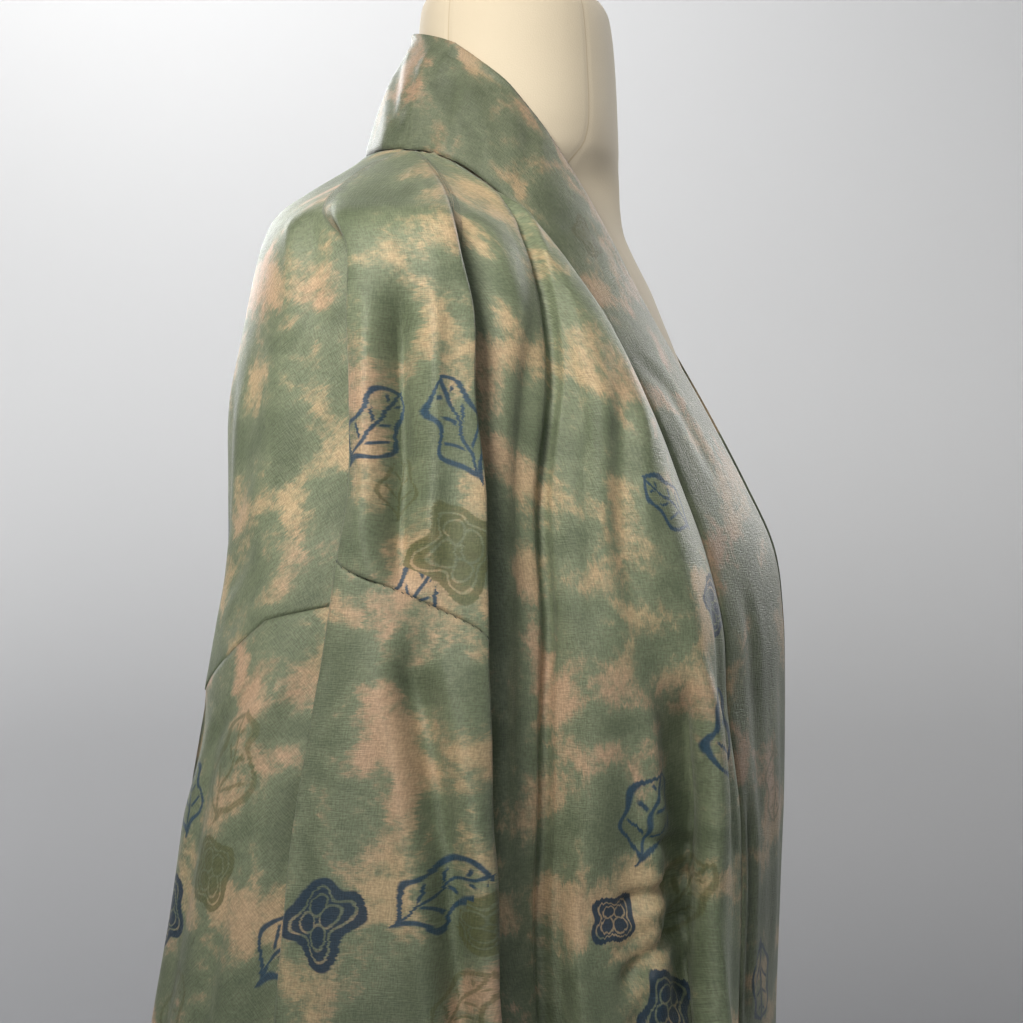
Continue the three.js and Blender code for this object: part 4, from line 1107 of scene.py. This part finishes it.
def sleeve(side, material):
    sheet = sleeve_sheet(side)
    on_arm = (sheet.places >= 0) & (sheet.places <= ARMHOLE_STATIONS)
    armhole = seam_roll(sheet.down(), ARMHOLE_ROLL_DEPTH, ARMHOLE_ROLL_WIDTH)
    depth = sheet.crease(SLEEVE_CREASES) + np.where(on_arm, armhole, 0)
    points = (sheet.points - sheet.normals() * depth[:, :, None]).reshape(-1, 3)
    faces = grid_faces(sheet.rows, sheet.columns, True, side)
    anchor = sheet.along_at(SLEEVE_ANCHOR)
    layers = sheet.layers(warp_angle(SLEEVE_WARP, sheet.places), SLEEVE_MOTIFS, anchor)
    return wall_object(named("sleeve_tube", side), points, faces, CLOTH_WALL, layers, material)


def gusset(side, material):
    """The wedge under the arm, between the side edges of the back and front panels."""
    z = np.concatenate([np.linspace(GUSSET_TOP_Z, VISIBLE_END_Z, GUSSET_VISIBLE_ROWS),
                        np.linspace(VISIBLE_END_Z, HEM_Z, HEM_ROWS)[1:]])
    start, end = np.full(len(z), GUSSET_START), np.full(len(z), GUSSET_START + 1)
    width = np.linalg.norm(lower_ring(side, end, end, z) - lower_ring(side, start, start, z), axis=1)
    inset = (GUSSET_GAP / width)[:, None]
    share = inset + (1 - 2 * inset) * np.linspace(0, 1, GUSSET_COLUMNS)
    station, height = GUSSET_START + share, np.broadcast_to(z[:, None], share.shape)
    points = clear_of_form(lower_ring(side, station.ravel(), station.ravel(), height.ravel()))
    sheet = Sheet(points, station, side)
    faces = grid_faces(sheet.rows, sheet.columns, False, side)
    layers = sheet.layers(np.full(sheet.z.shape, math.pi / 2), [], GUSSET_PATTERN_START)
    return wall_object(named("gusset_wedge", side), points, faces, CLOTH_WALL, layers, material)


def collar_stops():
    """The stations of the whole collar, from the left hem (negative) round the nape to the right hem."""
    last = COLLAR_ROWS[-1][0]
    nape = np.linspace(0, 3, COLLAR_NAPE_STEPS)
    front = NECK_POINT + (last - NECK_POINT) * np.linspace(0, 1, COLLAR_FRONT_STEPS) ** COLLAR_CROWDING
    one_side = np.concatenate([nape, front])
    return np.concatenate([-one_side[:0:-1], one_side])


def collar_line(side, stops):
    """The seam and free edge of one side's collar, and the way that its middle bulges in."""
    seam = collar_seam(side, stops)
    out, y, z = smooth_columns(COLLAR_ROWS, stops).T
    edge = np.column_stack([side * out, y, np.maximum(z, HEM_Z)])
    across = edge - seam
    run = collar_seam(side, stops + SEAM_STEP) - collar_seam(side, np.maximum(stops - SEAM_STEP, 0))
    inward = np.cross(run, across) * side
    inward /= np.linalg.norm(inward, axis=1)[:, None]
    seam = seam + across / np.linalg.norm(across, axis=1)[:, None] * COLLAR_SEAM_GAP
    return seam, edge, inward


def collar_clear_of_form(points):
    """Keeps the collar off the form, except for its seam, the first row."""
    below_seam = points[1:]
    moved = clear_of_form(below_seam.reshape(-1, 3), COLLAR_WALL).reshape(below_seam.shape)
    return np.concatenate([points[:1], moved])


def collar(material):
    """The collar band: one doubled strip from hem to hem round the nape."""
    stops = collar_stops()
    left, right = stops < 0, stops >= 0
    both = zip(collar_line(LEFT, -stops[left]), collar_line(RIGHT, stops[right]))
    seam, edge, inward = (np.concatenate(pair) for pair in both)
    share = np.linspace(0, 1, COLLAR_ACROSS + 1)[:, None, None]
    points = seam + (edge - seam) * share - inward * COLLAR_BULGE * np.sin(math.pi * share)
    points = collar_clear_of_form(points)
    station = np.broadcast_to(stops, points.shape[:2])
    sheet = Sheet(points, station, LEFT)
    sheet.along = np.broadcast_to(sheet.along[COLLAR_ACROSS // 2], station.shape)
    sheet.z = np.broadcast_to(share[:, :, 0] * COLLAR_WIDTH, station.shape)
    creases = [(LEFT, [(-side * stop, part * COLLAR_WIDTH) for stop, part in line], deep, half_width)
               for side, line, deep, half_width in COLLAR_CREASES]
    motifs = [(LEFT, kind, -side * stop, part * COLLAR_WIDTH, half_length, turn - 90)
              for side, kind, stop, part, half_length, turn in COLLAR_MOTIFS]
    depth = sheet.crease(creases) + seam_roll(sheet.z)
    depth += COLLAR_EDGE_DEPTH * np.exp(-((COLLAR_WIDTH - sheet.z) / COLLAR_EDGE_WIDTH) ** 2)
    points = points - sheet.normals() * depth[:, :, None]
    points = collar_clear_of_form(points)
    points[:, :, 2] = np.maximum(points[:, :, 2], HEM_Z)
    faces = grid_faces(sheet.rows, sheet.columns, False, LEFT)
    anchor = sheet.along_at(0)
    layers = sheet.layers(np.zeros(station.shape), motifs, anchor)
    return wall_object("collar_band", points.reshape(-1, 3), faces, COLLAR_WALL, layers, material)


def armhole_stitches(side, material):
    """Small dark stitches that lie across the armhole seam."""
    sheet = sleeve_sheet(side)
    arm = (sheet.places[0] >= STITCH_STATIONS[0]) & (sheet.places[0] <= STITCH_STATIONS[1])
    edge, below = sheet.points[0, arm], sheet.points[2, arm]
    normal = sheet.normals()[0, arm]
    run = np.concatenate([[0], np.cumsum(np.linalg.norm(np.diff(edge, axis=0), axis=1))])
    vertices, faces = [], []
    for at in np.arange(STITCH_SPACING, run[-1] - STITCH_SPACING, STITCH_SPACING):
        wanted = ((at, edge), (at + 1, edge), (at, normal), (at, below))
        here, ahead, out, lower = (np.array([np.interp(place, run, values[:, k]) for k in range(3)])
                                   for place, values in wanted)
        ahead, down = ahead - here, lower - here
        ahead, out, down = (v / np.linalg.norm(v) for v in (ahead, out, down))
        centre = here + down * STITCH_DROP - out * STITCH_SINK
        lean = ahead * math.cos(STITCH_LEAN) + down * math.sin(STITCH_LEAN)
        lean -= out * np.dot(lean, out)
        beside = np.cross(lean, out)
        first = len(vertices)
        for ring in range(1, STITCH_RINGS):
            turn = math.pi * ring / STITCH_RINGS
            for k in range(STITCH_SIDES):
                angle = 2 * math.pi * k / STITCH_SIDES
                radius = STITCH_WIDTH / 2 * math.sin(turn)
                point = (centre + lean * STITCH_LENGTH / 2 * math.cos(turn)
                         + beside * radius * math.cos(angle) + out * radius * math.sin(angle))
                vertices.append(tuple(point * MM))
        for ring in range(STITCH_RINGS - 2):
            for k in range(STITCH_SIDES):
                a = first + ring * STITCH_SIDES + k
                b = first + ring * STITCH_SIDES + (k + 1) % STITCH_SIDES
                faces.append((a, b, b + STITCH_SIDES, a + STITCH_SIDES))
        last = first + (STITCH_RINGS - 2) * STITCH_SIDES
        faces.append(tuple(range(first + STITCH_SIDES - 1, first - 1, -1)))
        faces.append(tuple(range(last, last + STITCH_SIDES)))
    return plain_object(named("armhole_stitches", side), vertices, faces, material)


# The form and its stand

def form_heights():
    """Heights for the fine form: as dense as its own rings where they lie close."""
    heights = []
    for below, above in zip(FORM_RINGS, FORM_RINGS[1:]):
        steps = max(3, round((above[0] - below[0]) / FORM_LEVEL_STEP))
        heights += list(np.linspace(below[0], above[0], steps, endpoint=False))
    return np.array(heights + [FORM_RINGS[-1][0]])


def form_torso(material):
    """The padded torso with its neck, from rings that are nearly elliptical in plan."""
    heights = form_heights()
    half_width, tip_y, front_y, back_y, roundness = smooth_columns(FORM_RINGS, heights).T
    angle = 2 * np.pi * np.arange(FORM_SIDES) / FORM_SIDES
    cosine, sine = np.cos(angle)[None], np.sin(angle)[None]
    power = (2 / roundness)[:, None]
    reach = np.where(sine < 0, (tip_y - front_y)[:, None], (back_y - tip_y)[:, None])
    on_seam = np.isin(np.arange(FORM_SIDES), [round(FORM_SIDES * turn / 360) for turn in FORM_SEAMS])
    sunk = 1 - np.where(on_seam, FORM_SEAM_DEPTH, 0)[None] / half_width[:, None]
    x = half_width[:, None] * np.sign(cosine) * np.abs(cosine) ** power * sunk
    y = tip_y[:, None] + np.sign(sine) * np.abs(sine) ** power * reach * sunk
    lean = np.where(heights > NECK_POINT_Z, NECK_TOP_TILT * (heights - NECK_POINT_Z) / DECIMETRE, 0)
    z = heights[:, None] + lean[:, None] * (y - tip_y[:, None])
    points = np.stack([x, y, z], axis=2).reshape(-1, 3)
    faces = grid_faces(len(heights), FORM_SIDES, True, LEFT)[:, ::-1].tolist()
    caps = [[0, tip_y[0], TORSO_BOTTOM_Z], [0, tip_y[-1], NECK_TOP_Z]]
    bottom, top, last = len(points), len(points) + 1, (len(heights) - 1) * FORM_SIDES
    for k in range(FORM_SIDES):
        after = (k + 1) % FORM_SIDES
        faces.append((bottom, after, k))
        faces.append((top, last + k, last + after))
    obj = plain_object("form_torso", np.concatenate([points, caps]) * MM, faces, material)
    seam = np.zeros((len(points) + len(caps), 3), np.float32)
    seam[:len(points), 0] = np.tile(on_seam, len(heights))
    obj.data.attributes.new("seam", "FLOAT_VECTOR", "POINT").data.foreach_set("vector", seam.ravel())
    return obj


def turned_rings(profile, sides):
    """The points and faces of a surface of revolution round Z, from pairs of radius and height."""
    vertices, faces = [], []
    for radius, z in profile:
        for k in range(sides):
            angle = 2 * math.pi * k / sides
            vertices.append((radius * math.cos(angle), radius * math.sin(angle), z))
    for ring in range(len(profile) - 1):
        for k in range(sides):
            a, b = ring * sides + k, ring * sides + (k + 1) % sides
            faces.append((a, b, b + sides, a + sides))
    return vertices, faces


def turned(name, profile, sides, material):
    """A solid of revolution with flat ends, from pairs of radius and height in millimetres."""
    rings, faces = turned_rings(profile, sides)
    vertices = [tuple(value * MM for value in point) for point in rings]
    faces.append(tuple(reversed(range(sides))))
    faces.append(tuple(range((len(profile) - 1) * sides, len(profile) * sides)))
    return plain_object(name, vertices, faces, material)


def stand_pole(material):
    bottom, top = BASE_HEIGHT + SEAT_GAP, TORSO_BOTTOM_Z - SEAT_GAP
    profile = [(POLE_RADIUS - POLE_EDGE, bottom), (POLE_RADIUS, bottom + POLE_EDGE)]
    profile += [(POLE_RADIUS, bottom + (top - bottom) * k / POLE_STEPS) for k in range(1, POLE_STEPS)]
    profile += [(POLE_RADIUS, top - POLE_EDGE), (POLE_RADIUS - POLE_EDGE, top)]
    return turned("stand_pole_tube", profile, POLE_SIDES, material)


def stand_base(material):
    flat = BASE_RADIUS - BASE_EDGE
    profile = [(BASE_RADIUS - BASE_FOOT, 0), (BASE_RADIUS, BASE_FOOT),
               (BASE_RADIUS, BASE_HEIGHT - BASE_EDGE)]
    for k in range(1, BASE_STEPS + 1):
        turn = math.pi / 2 * k / BASE_STEPS
        height = BASE_HEIGHT - BASE_EDGE * (1 - math.sin(turn))
        profile.append((flat + BASE_EDGE * math.cos(turn), height))
    for k in range(1, BASE_STEPS + 1):
        radius = flat * (BASE_STEPS - k) / BASE_STEPS + POLE_RADIUS * k / BASE_STEPS
        profile.append((radius, BASE_HEIGHT))
    return turned("stand_base_disc", profile, BASE_SIDES, material)


# Materials

class Nodes:
    """Short ways to add a material's nodes and join them."""

    def __init__(self, name):
        self.material = bpy.data.materials.new(name)
        self.material.use_nodes = True
        self.tree = self.material.node_tree
        self.shader = self.tree.nodes["Principled BSDF"]

    def add(self, kind, inputs, output=0, **settings):
        node = self.tree.nodes.new(kind)
        for key, value in settings.items():
            setattr(node, key, value)
        for key, value in inputs.items():
            self.set(node.inputs[key], value)
        return node.outputs[output]

    def set(self, socket, value):
        if isinstance(value, bpy.types.NodeSocket):
            self.tree.links.new(value, socket)
        else:
            socket.default_value = value

    def math(self, operation, a, b=0.0, c=0.0):
        return self.add("ShaderNodeMath", {0: a, 1: b, 2: c}, operation=operation)

    def plus(self, a, b):
        return self.math("ADD", a, b)

    def minus(self, a, b):
        return self.math("SUBTRACT", a, b)

    def times(self, a, b):
        return self.math("MULTIPLY", a, b)

    def times_plus(self, a, b, c):
        return self.math("MULTIPLY_ADD", a, b, c)

    def vector(self, operation, a, b=(0, 0, 0)):
        return self.add("ShaderNodeVectorMath", {0: a, 1: b}, operation=operation)

    def scaled(self, vector, factor):
        return self.add("ShaderNodeVectorMath", {0: vector, "Scale": factor}, operation="SCALE")

    def length(self, x, y):
        return self.add("ShaderNodeVectorMath", {0: self.join(x, y)}, 1, operation="LENGTH")

    def uv(self, layer):
        return self.add("ShaderNodeUVMap", {}, uv_map=layer)

    def attribute(self, layer):
        return self.add("ShaderNodeAttribute", {}, 1, attribute_name=layer, attribute_type="GEOMETRY")

    def object_place(self):
        return self.add("ShaderNodeTexCoord", {}, 3)

    def split(self, vector):
        node = self.tree.nodes.new("ShaderNodeSeparateXYZ")
        self.set(node.inputs[0], vector)
        return node.outputs[0], node.outputs[1], node.outputs[2]

    def join(self, x, y, z=0.0):
        return self.add("ShaderNodeCombineXYZ", {0: x, 1: y, 2: z})

    def noise(self, at, scale, detail=2.0, roughness=0.5, distortion=0.0):
        inputs = {"Vector": at, "Scale": scale, "Detail": detail, "Roughness": roughness,
                  "Distortion": distortion}
        return self.add("ShaderNodeTexNoise", inputs)

    def step(self, value, start, end, low=0.0, high=1.0):
        """A smooth step from low to high as the value goes from start to end."""
        inputs = {"Value": value, "From Min": start, "From Max": end, "To Min": low, "To Max": high}
        return self.add("ShaderNodeMapRange", inputs, interpolation_type="SMOOTHSTEP")

    def mix(self, factor, a, b):
        node = self.tree.nodes.new("ShaderNodeMix")
        node.data_type = "RGBA"
        for name, value in (("Factor_Float", factor), ("A_Color", a), ("B_Color", b)):
            socket = next(s for s in node.inputs if s.identifier == name)
            self.set(socket, (*value, 1) if isinstance(value, tuple) else value)
        return next(s for s in node.outputs if s.identifier == "Result_Color")

    def finish(self, colour, bump=None, bump_depth=0.001, **numbers):
        """Joins colour and bump to the shader and sets its plain numbers."""
        self.set(self.shader.inputs["Base Color"], (*colour, 1) if isinstance(colour, tuple) else colour)
        for name, value in numbers.items():
            self.shader.inputs[name.replace("_", " ").title()].default_value = value
        if bump is not None:
            normal = self.add("ShaderNodeBump", {"Height": bump, "Strength": 1.0, "Distance": bump_depth})
            self.set(self.shader.inputs["Normal"], normal)
        return self.material


def band(nodes, distance, half_width, blur):
    """1 where the distance is near 0, with soft edges."""
    return nodes.step(nodes.math("ABSOLUTE", distance), half_width, half_width + blur, 1.0, 0.0)


def leaf_mask(nodes, x, y):
    """A wavy leaf from tip to tip along x: its outline, its rib and its side veins."""
    side = nodes.math("ABSOLUTE", y)
    shift = nodes.times(nodes.math("SIGN", y), LEAF_WAVE_SHIFT)
    wobble = nodes.times(nodes.math("SINE", nodes.times_plus(x, LEAF_WAVES, shift)), LEAF_WAVE_DEPTH)
    arc = nodes.length(x, nodes.plus(side, LEAF_ARC_DROP))
    inward = nodes.minus(nodes.plus(arc, wobble), LEAF_ARC_RADIUS)
    outline = band(nodes, nodes.plus(inward, LEAF_LINE_INSET), *LEAF_LINE)
    rib = nodes.times(band(nodes, y, *LEAF_RIB), nodes.step(inward, *LEAF_RIB_END, 1.0, 0.0))
    slant = nodes.minus(x, nodes.times(side, LEAF_VEIN_SLANT))
    repeat = nodes.math("FRACT", nodes.times_plus(slant, LEAF_VEINS, LEAF_VEIN_START))
    vein = band(nodes, nodes.minus(repeat, 0.5), *LEAF_VEIN)
    vein = nodes.times(vein, nodes.step(side, *LEAF_VEIN_FOOT))
    vein = nodes.times(vein, nodes.step(inward, *LEAF_VEIN_END, 1.0, 0.0))
    return nodes.math("MAXIMUM", outline, nodes.math("MAXIMUM", rib, vein))


def flower_mask(nodes, x, y):
    """A filled four-lobed flower with a pale ring and pale rims round its four cells."""
    angle = nodes.math("ARCTAN2", y, x)
    reach = nodes.times_plus(nodes.math("COSINE", nodes.times(angle, 4)), FLOWER_LOBE, FLOWER_RADIUS)
    inward = nodes.minus(nodes.length(x, y), reach)
    fill = nodes.step(inward, *FLOWER_EDGE, 1.0, 0.0)
    ring = band(nodes, nodes.plus(inward, FLOWER_RING_INSET), *FLOWER_RING)
    wide, narrow = nodes.math("ABSOLUTE", x), nodes.math("ABSOLUTE", y)
    far, near = nodes.math("MAXIMUM", wide, narrow), nodes.math("MINIMUM", wide, narrow)
    cell = nodes.length(nodes.minus(far, FLOWER_CELL_PLACE), near)
    rim = band(nodes, nodes.minus(cell, FLOWER_CELL_RADIUS), *FLOWER_CELL_RIM)
    rim = nodes.times(rim, nodes.step(inward, *FLOWER_CELL_END, 1.0, 0.0))
    pale = nodes.times(nodes.math("MAXIMUM", ring, rim), FLOWER_PALE)
    return nodes.times(fill, nodes.minus(1.0, pale))


def stretched_noise(nodes, along, across, scale, detail):
    """A noise with its own scale along the warp and across it."""
    return nodes.noise(nodes.join(nodes.times(along, scale[0]), nodes.times(across, scale[1])), 1, detail)


def clouds(nodes, feathered):
    """Soft sage clouds, deeper in their middles, on a ground of two tans."""
    cloud = nodes.noise(nodes.vector("ADD", feathered, CLOUD_SHIFT), CLOUD_SCALE, 3.0, 0.55, 0.4)
    mottle = nodes.noise(feathered, MOTTLE_SCALE, 3.0, 0.6)
    cloud = nodes.times_plus(nodes.minus(mottle, 0.5), MOTTLE_SHARE, cloud)
    sage_share = nodes.times(nodes.step(cloud, *SAGE_RANGE), SAGE_SHARE)
    deep_share = nodes.times(nodes.step(cloud, *DEEP_RANGE), DEEP_SHARE)
    tint = nodes.step(nodes.noise(feathered, TINT_SCALE, 1.0), *TINT_RANGE)
    sage = nodes.mix(deep_share, SAGE, DEEP_SAGE)
    return nodes.mix(sage_share, nodes.mix(tint, TAN, PINK_TAN), sage)


def motifs_over(nodes, ground, cloth, feathered, jag):
    """The leaves and flowers, bent and ragged, over the ground's colour."""
    place_x, place_y, kind = nodes.split(nodes.attribute("motif_place"))
    grain_x, grain_y, _ = nodes.split(nodes.attribute("motif_grain"))
    ragged = nodes.times(jag, MOTIF_FEATHER)
    bend_x = nodes.noise(cloth, MOTIF_BEND_SCALES[0], 1.0)
    bend_y = nodes.noise(feathered, MOTIF_BEND_SCALES[1], 1.0)
    bent_x = nodes.times_plus(bend_x, MOTIF_BEND, place_x)
    bent_y = nodes.times_plus(bend_y, MOTIF_BEND, place_y)
    x = nodes.times_plus(grain_x, ragged, nodes.minus(bent_x, MOTIF_BEND / 2))
    y = nodes.times_plus(grain_y, ragged, nodes.minus(bent_y, MOTIF_BEND / 2))
    blue, navy, olive, faint = (nodes.math("COMPARE", kind, number, KIND_MARGIN)
                                for number in (BLUE_LEAF, NAVY_FLOWER, OLIVE_FLOWER, OLIVE_LEAF))
    leaf_ink = nodes.times_plus(faint, FAINT_SHARE, nodes.times(blue, BLUE_SHARE))
    flower_ink = nodes.times_plus(olive, OLIVE_SHARE, nodes.times(navy, NAVY_SHARE))
    leaves = nodes.times(leaf_mask(nodes, x, y), leaf_ink)
    flowers = nodes.times(flower_mask(nodes, x, y), flower_ink)
    ink = nodes.mix(blue, nodes.mix(navy, OLIVE_INK, NAVY_INK), BLUE_INK)
    return nodes.mix(nodes.plus(leaves, flowers), ground, ink)


def silk(name, shade=1.0):
    """Ikat silk: sage clouds on tan, feathered along the warp, with blue, navy and olive motifs."""
    nodes = Nodes(name)
    cloth, thread, warp = nodes.uv("cloth"), nodes.uv("thread"), nodes.attribute("warp")
    along, across, _ = nodes.split(thread)
    jag = nodes.times(nodes.minus(stretched_noise(nodes, along, across, JAG_SCALE, 1.5), 0.5), 2.0)
    feathered = nodes.vector("ADD", cloth, nodes.scaled(warp, nodes.times(jag, CLOUD_FEATHER)))
    colour = motifs_over(nodes, clouds(nodes, feathered), cloth, feathered, jag)

    weave = nodes.plus(stretched_noise(nodes, along, across, WARP_SCALE, 2.0),
                       stretched_noise(nodes, along, across, WEFT_SCALE, 2.0))
    grain = nodes.plus(weave, nodes.noise(cloth, GRAIN_SCALE, 2.0))
    # The shade factor darkens the whole cloth; on the collar it is partly darker dye, partly painted
    # shade
    lightness = nodes.step(grain, *GRAIN_RANGE, DARK_THREAD * shade, LIGHT_THREAD * shade)
    return nodes.finish(nodes.scaled(colour, lightness), weave, WEAVE_DEPTH,
                        roughness=0.52, sheen_weight=0.18, sheen_roughness=0.4)


def form_cover():
    """Cream cotton with slightly darker seams."""
    nodes = Nodes("form_cotton")
    at = nodes.object_place()
    fine = nodes.noise(at, COTTON_WEAVE_SCALE, 2.0)
    cloudy = nodes.noise(at, COTTON_CLOUD_SCALE, 2.0)
    colour = nodes.mix(nodes.step(cloudy, *COTTON_CLOUD_RANGE), COTTON, COTTON_SHADE)
    seam, _, _ = nodes.split(nodes.attribute("seam"))
    colour = nodes.mix(nodes.step(seam, *COTTON_SEAM_RANGE, 0.0, COTTON_SEAM_SHARE), colour, COTTON_SEAM)
    return nodes.finish(colour, fine, COTTON_DEPTH, roughness=0.78, sheen_weight=0.1)


def brushed_steel():
    nodes = Nodes("stand_steel")
    at = nodes.vector("MULTIPLY", nodes.object_place(), STEEL_LINES)
    lines = nodes.noise(at, 1, 2.0)
    colour = nodes.mix(lines, STEEL_DARK, STEEL_LIGHT)
    return nodes.finish(colour, lines, 0.00005, metallic=0.95, roughness=0.34)


def base_paint():
    nodes = Nodes("base_enamel")
    at = nodes.object_place()
    speck = nodes.noise(at, 700, 2.0)
    colour = nodes.mix(speck, ENAMEL_DARK, ENAMEL_LIGHT)
    return nodes.finish(colour, speck, 0.0001, roughness=0.42)


def room_paint_with_painted_shade():
    """Pale paint on the wall, with painted shade that turns it grey toward the floor."""
    nodes = Nodes("backdrop_paint_with_painted_shade")
    at = nodes.object_place()
    _, _, height = nodes.split(at)
    # Painted shade: the wall goes grey toward the floor
    share = nodes.step(height, GREY_BELOW, PALE_ABOVE)
    return nodes.finish(nodes.mix(share, FLOOR_PAINTED_SHADE_GREY, WALL_PAINT), roughness=0.9)


# Stage, lights and camera

def room():
    """A pale round room: a floor that curves up into a wall, out of the way of every view."""
    profile = [(radius, 0) for radius in (*FLOOR_RINGS, WALL_RADIUS - FOOT_RADIUS)]
    for k in range(1, FOOT_STEPS + 1):
        turn = math.pi / 2 * k / FOOT_STEPS
        out, up = 1 - math.sin(turn), 1 - math.cos(turn)
        profile.append((WALL_RADIUS - FOOT_RADIUS * out, FOOT_RADIUS * up))
    profile.append((WALL_RADIUS, WALL_HEIGHT))
    rings, ring_faces = turned_rings(profile, ROOM_SIDES)
    faces = [(0, 1 + (k + 1) % ROOM_SIDES, 1 + k) for k in range(ROOM_SIDES)]
    faces += [tuple(1 + corner for corner in face) for face in ring_faces]
    plain_object("backdrop", [(0, 0, 0)] + rings, faces, room_paint_with_painted_shade())


def area_light(name, place, target, size, power, colour, spread):
    data = bpy.data.lights.new(name, "AREA")
    data.shape = "DISK"
    data.size, data.energy, data.color = size, power, colour
    data.spread = math.radians(spread)
    light = bpy.data.objects.new(name, data)
    light.location = place
    light.rotation_euler = (Vector(target) - Vector(place)).to_track_quat("-Z", "Y").to_euler()
    light.visible_camera = False
    bpy.context.scene.collection.objects.link(light)


def lights():
    bpy.context.scene.view_settings.view_transform = "Standard"
    world = bpy.data.worlds.new("studio")
    world.use_nodes = True
    background = world.node_tree.nodes["Background"]
    background.inputs["Color"].default_value = WORLD_COLOUR
    background.inputs["Strength"].default_value = WORLD_STRENGTH
    bpy.context.scene.world = world
    for light in LIGHTS:
        area_light(*light)


def camera():
    data = bpy.data.cameras.new("camera")
    data.lens, data.sensor_width = CAMERA_LENS, CAMERA_SENSOR
    eye = bpy.data.objects.new("camera", data)
    eye.location = CAMERA_PLACE
    eye.rotation_euler = (math.pi / 2, 0, math.radians(CAMERA_HEADING - 90))
    bpy.context.scene.collection.objects.link(eye)
    bpy.context.scene.camera = eye


def declare(piece, slot, *nodes):
    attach(piece, "root")
    if nodes:
        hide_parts(*nodes)


def main():
    camera()
    # The collar's silk is a darker copy of the body's silk: partly darker dye, partly painted shade
    cloth, collar_cloth = silk("ikat_silk"), silk("collar_silk_dye_and_painted_shade", COLLAR_DYE_AND_PAINTED_SHADE)
    thread = Nodes("stitch_thread").finish(THREAD, roughness=0.6)

    band_piece = collar(collar_cloth)
    declare(band_piece, "collar_cloth", "collar")
    for side in (RIGHT, LEFT):
        panel = body_panel(side, cloth)
        declare(panel, "cloth", named("body", side))
        tube = sleeve(side, cloth)
        declare(tube, "cloth", named("sleeve", side))
        wedge = gusset(side, cloth)
        declare(wedge, "cloth", named("gusset", side))
        declare(armhole_stitches(side, thread), "cloth")

    declare(form_torso(form_cover()), "form_cover", "dress_form")
    declare(stand_pole(brushed_steel()), "steel", "stand_pole")
    declare(stand_base(base_paint()), "base", "stand_base")
    room()
    lights()


main()
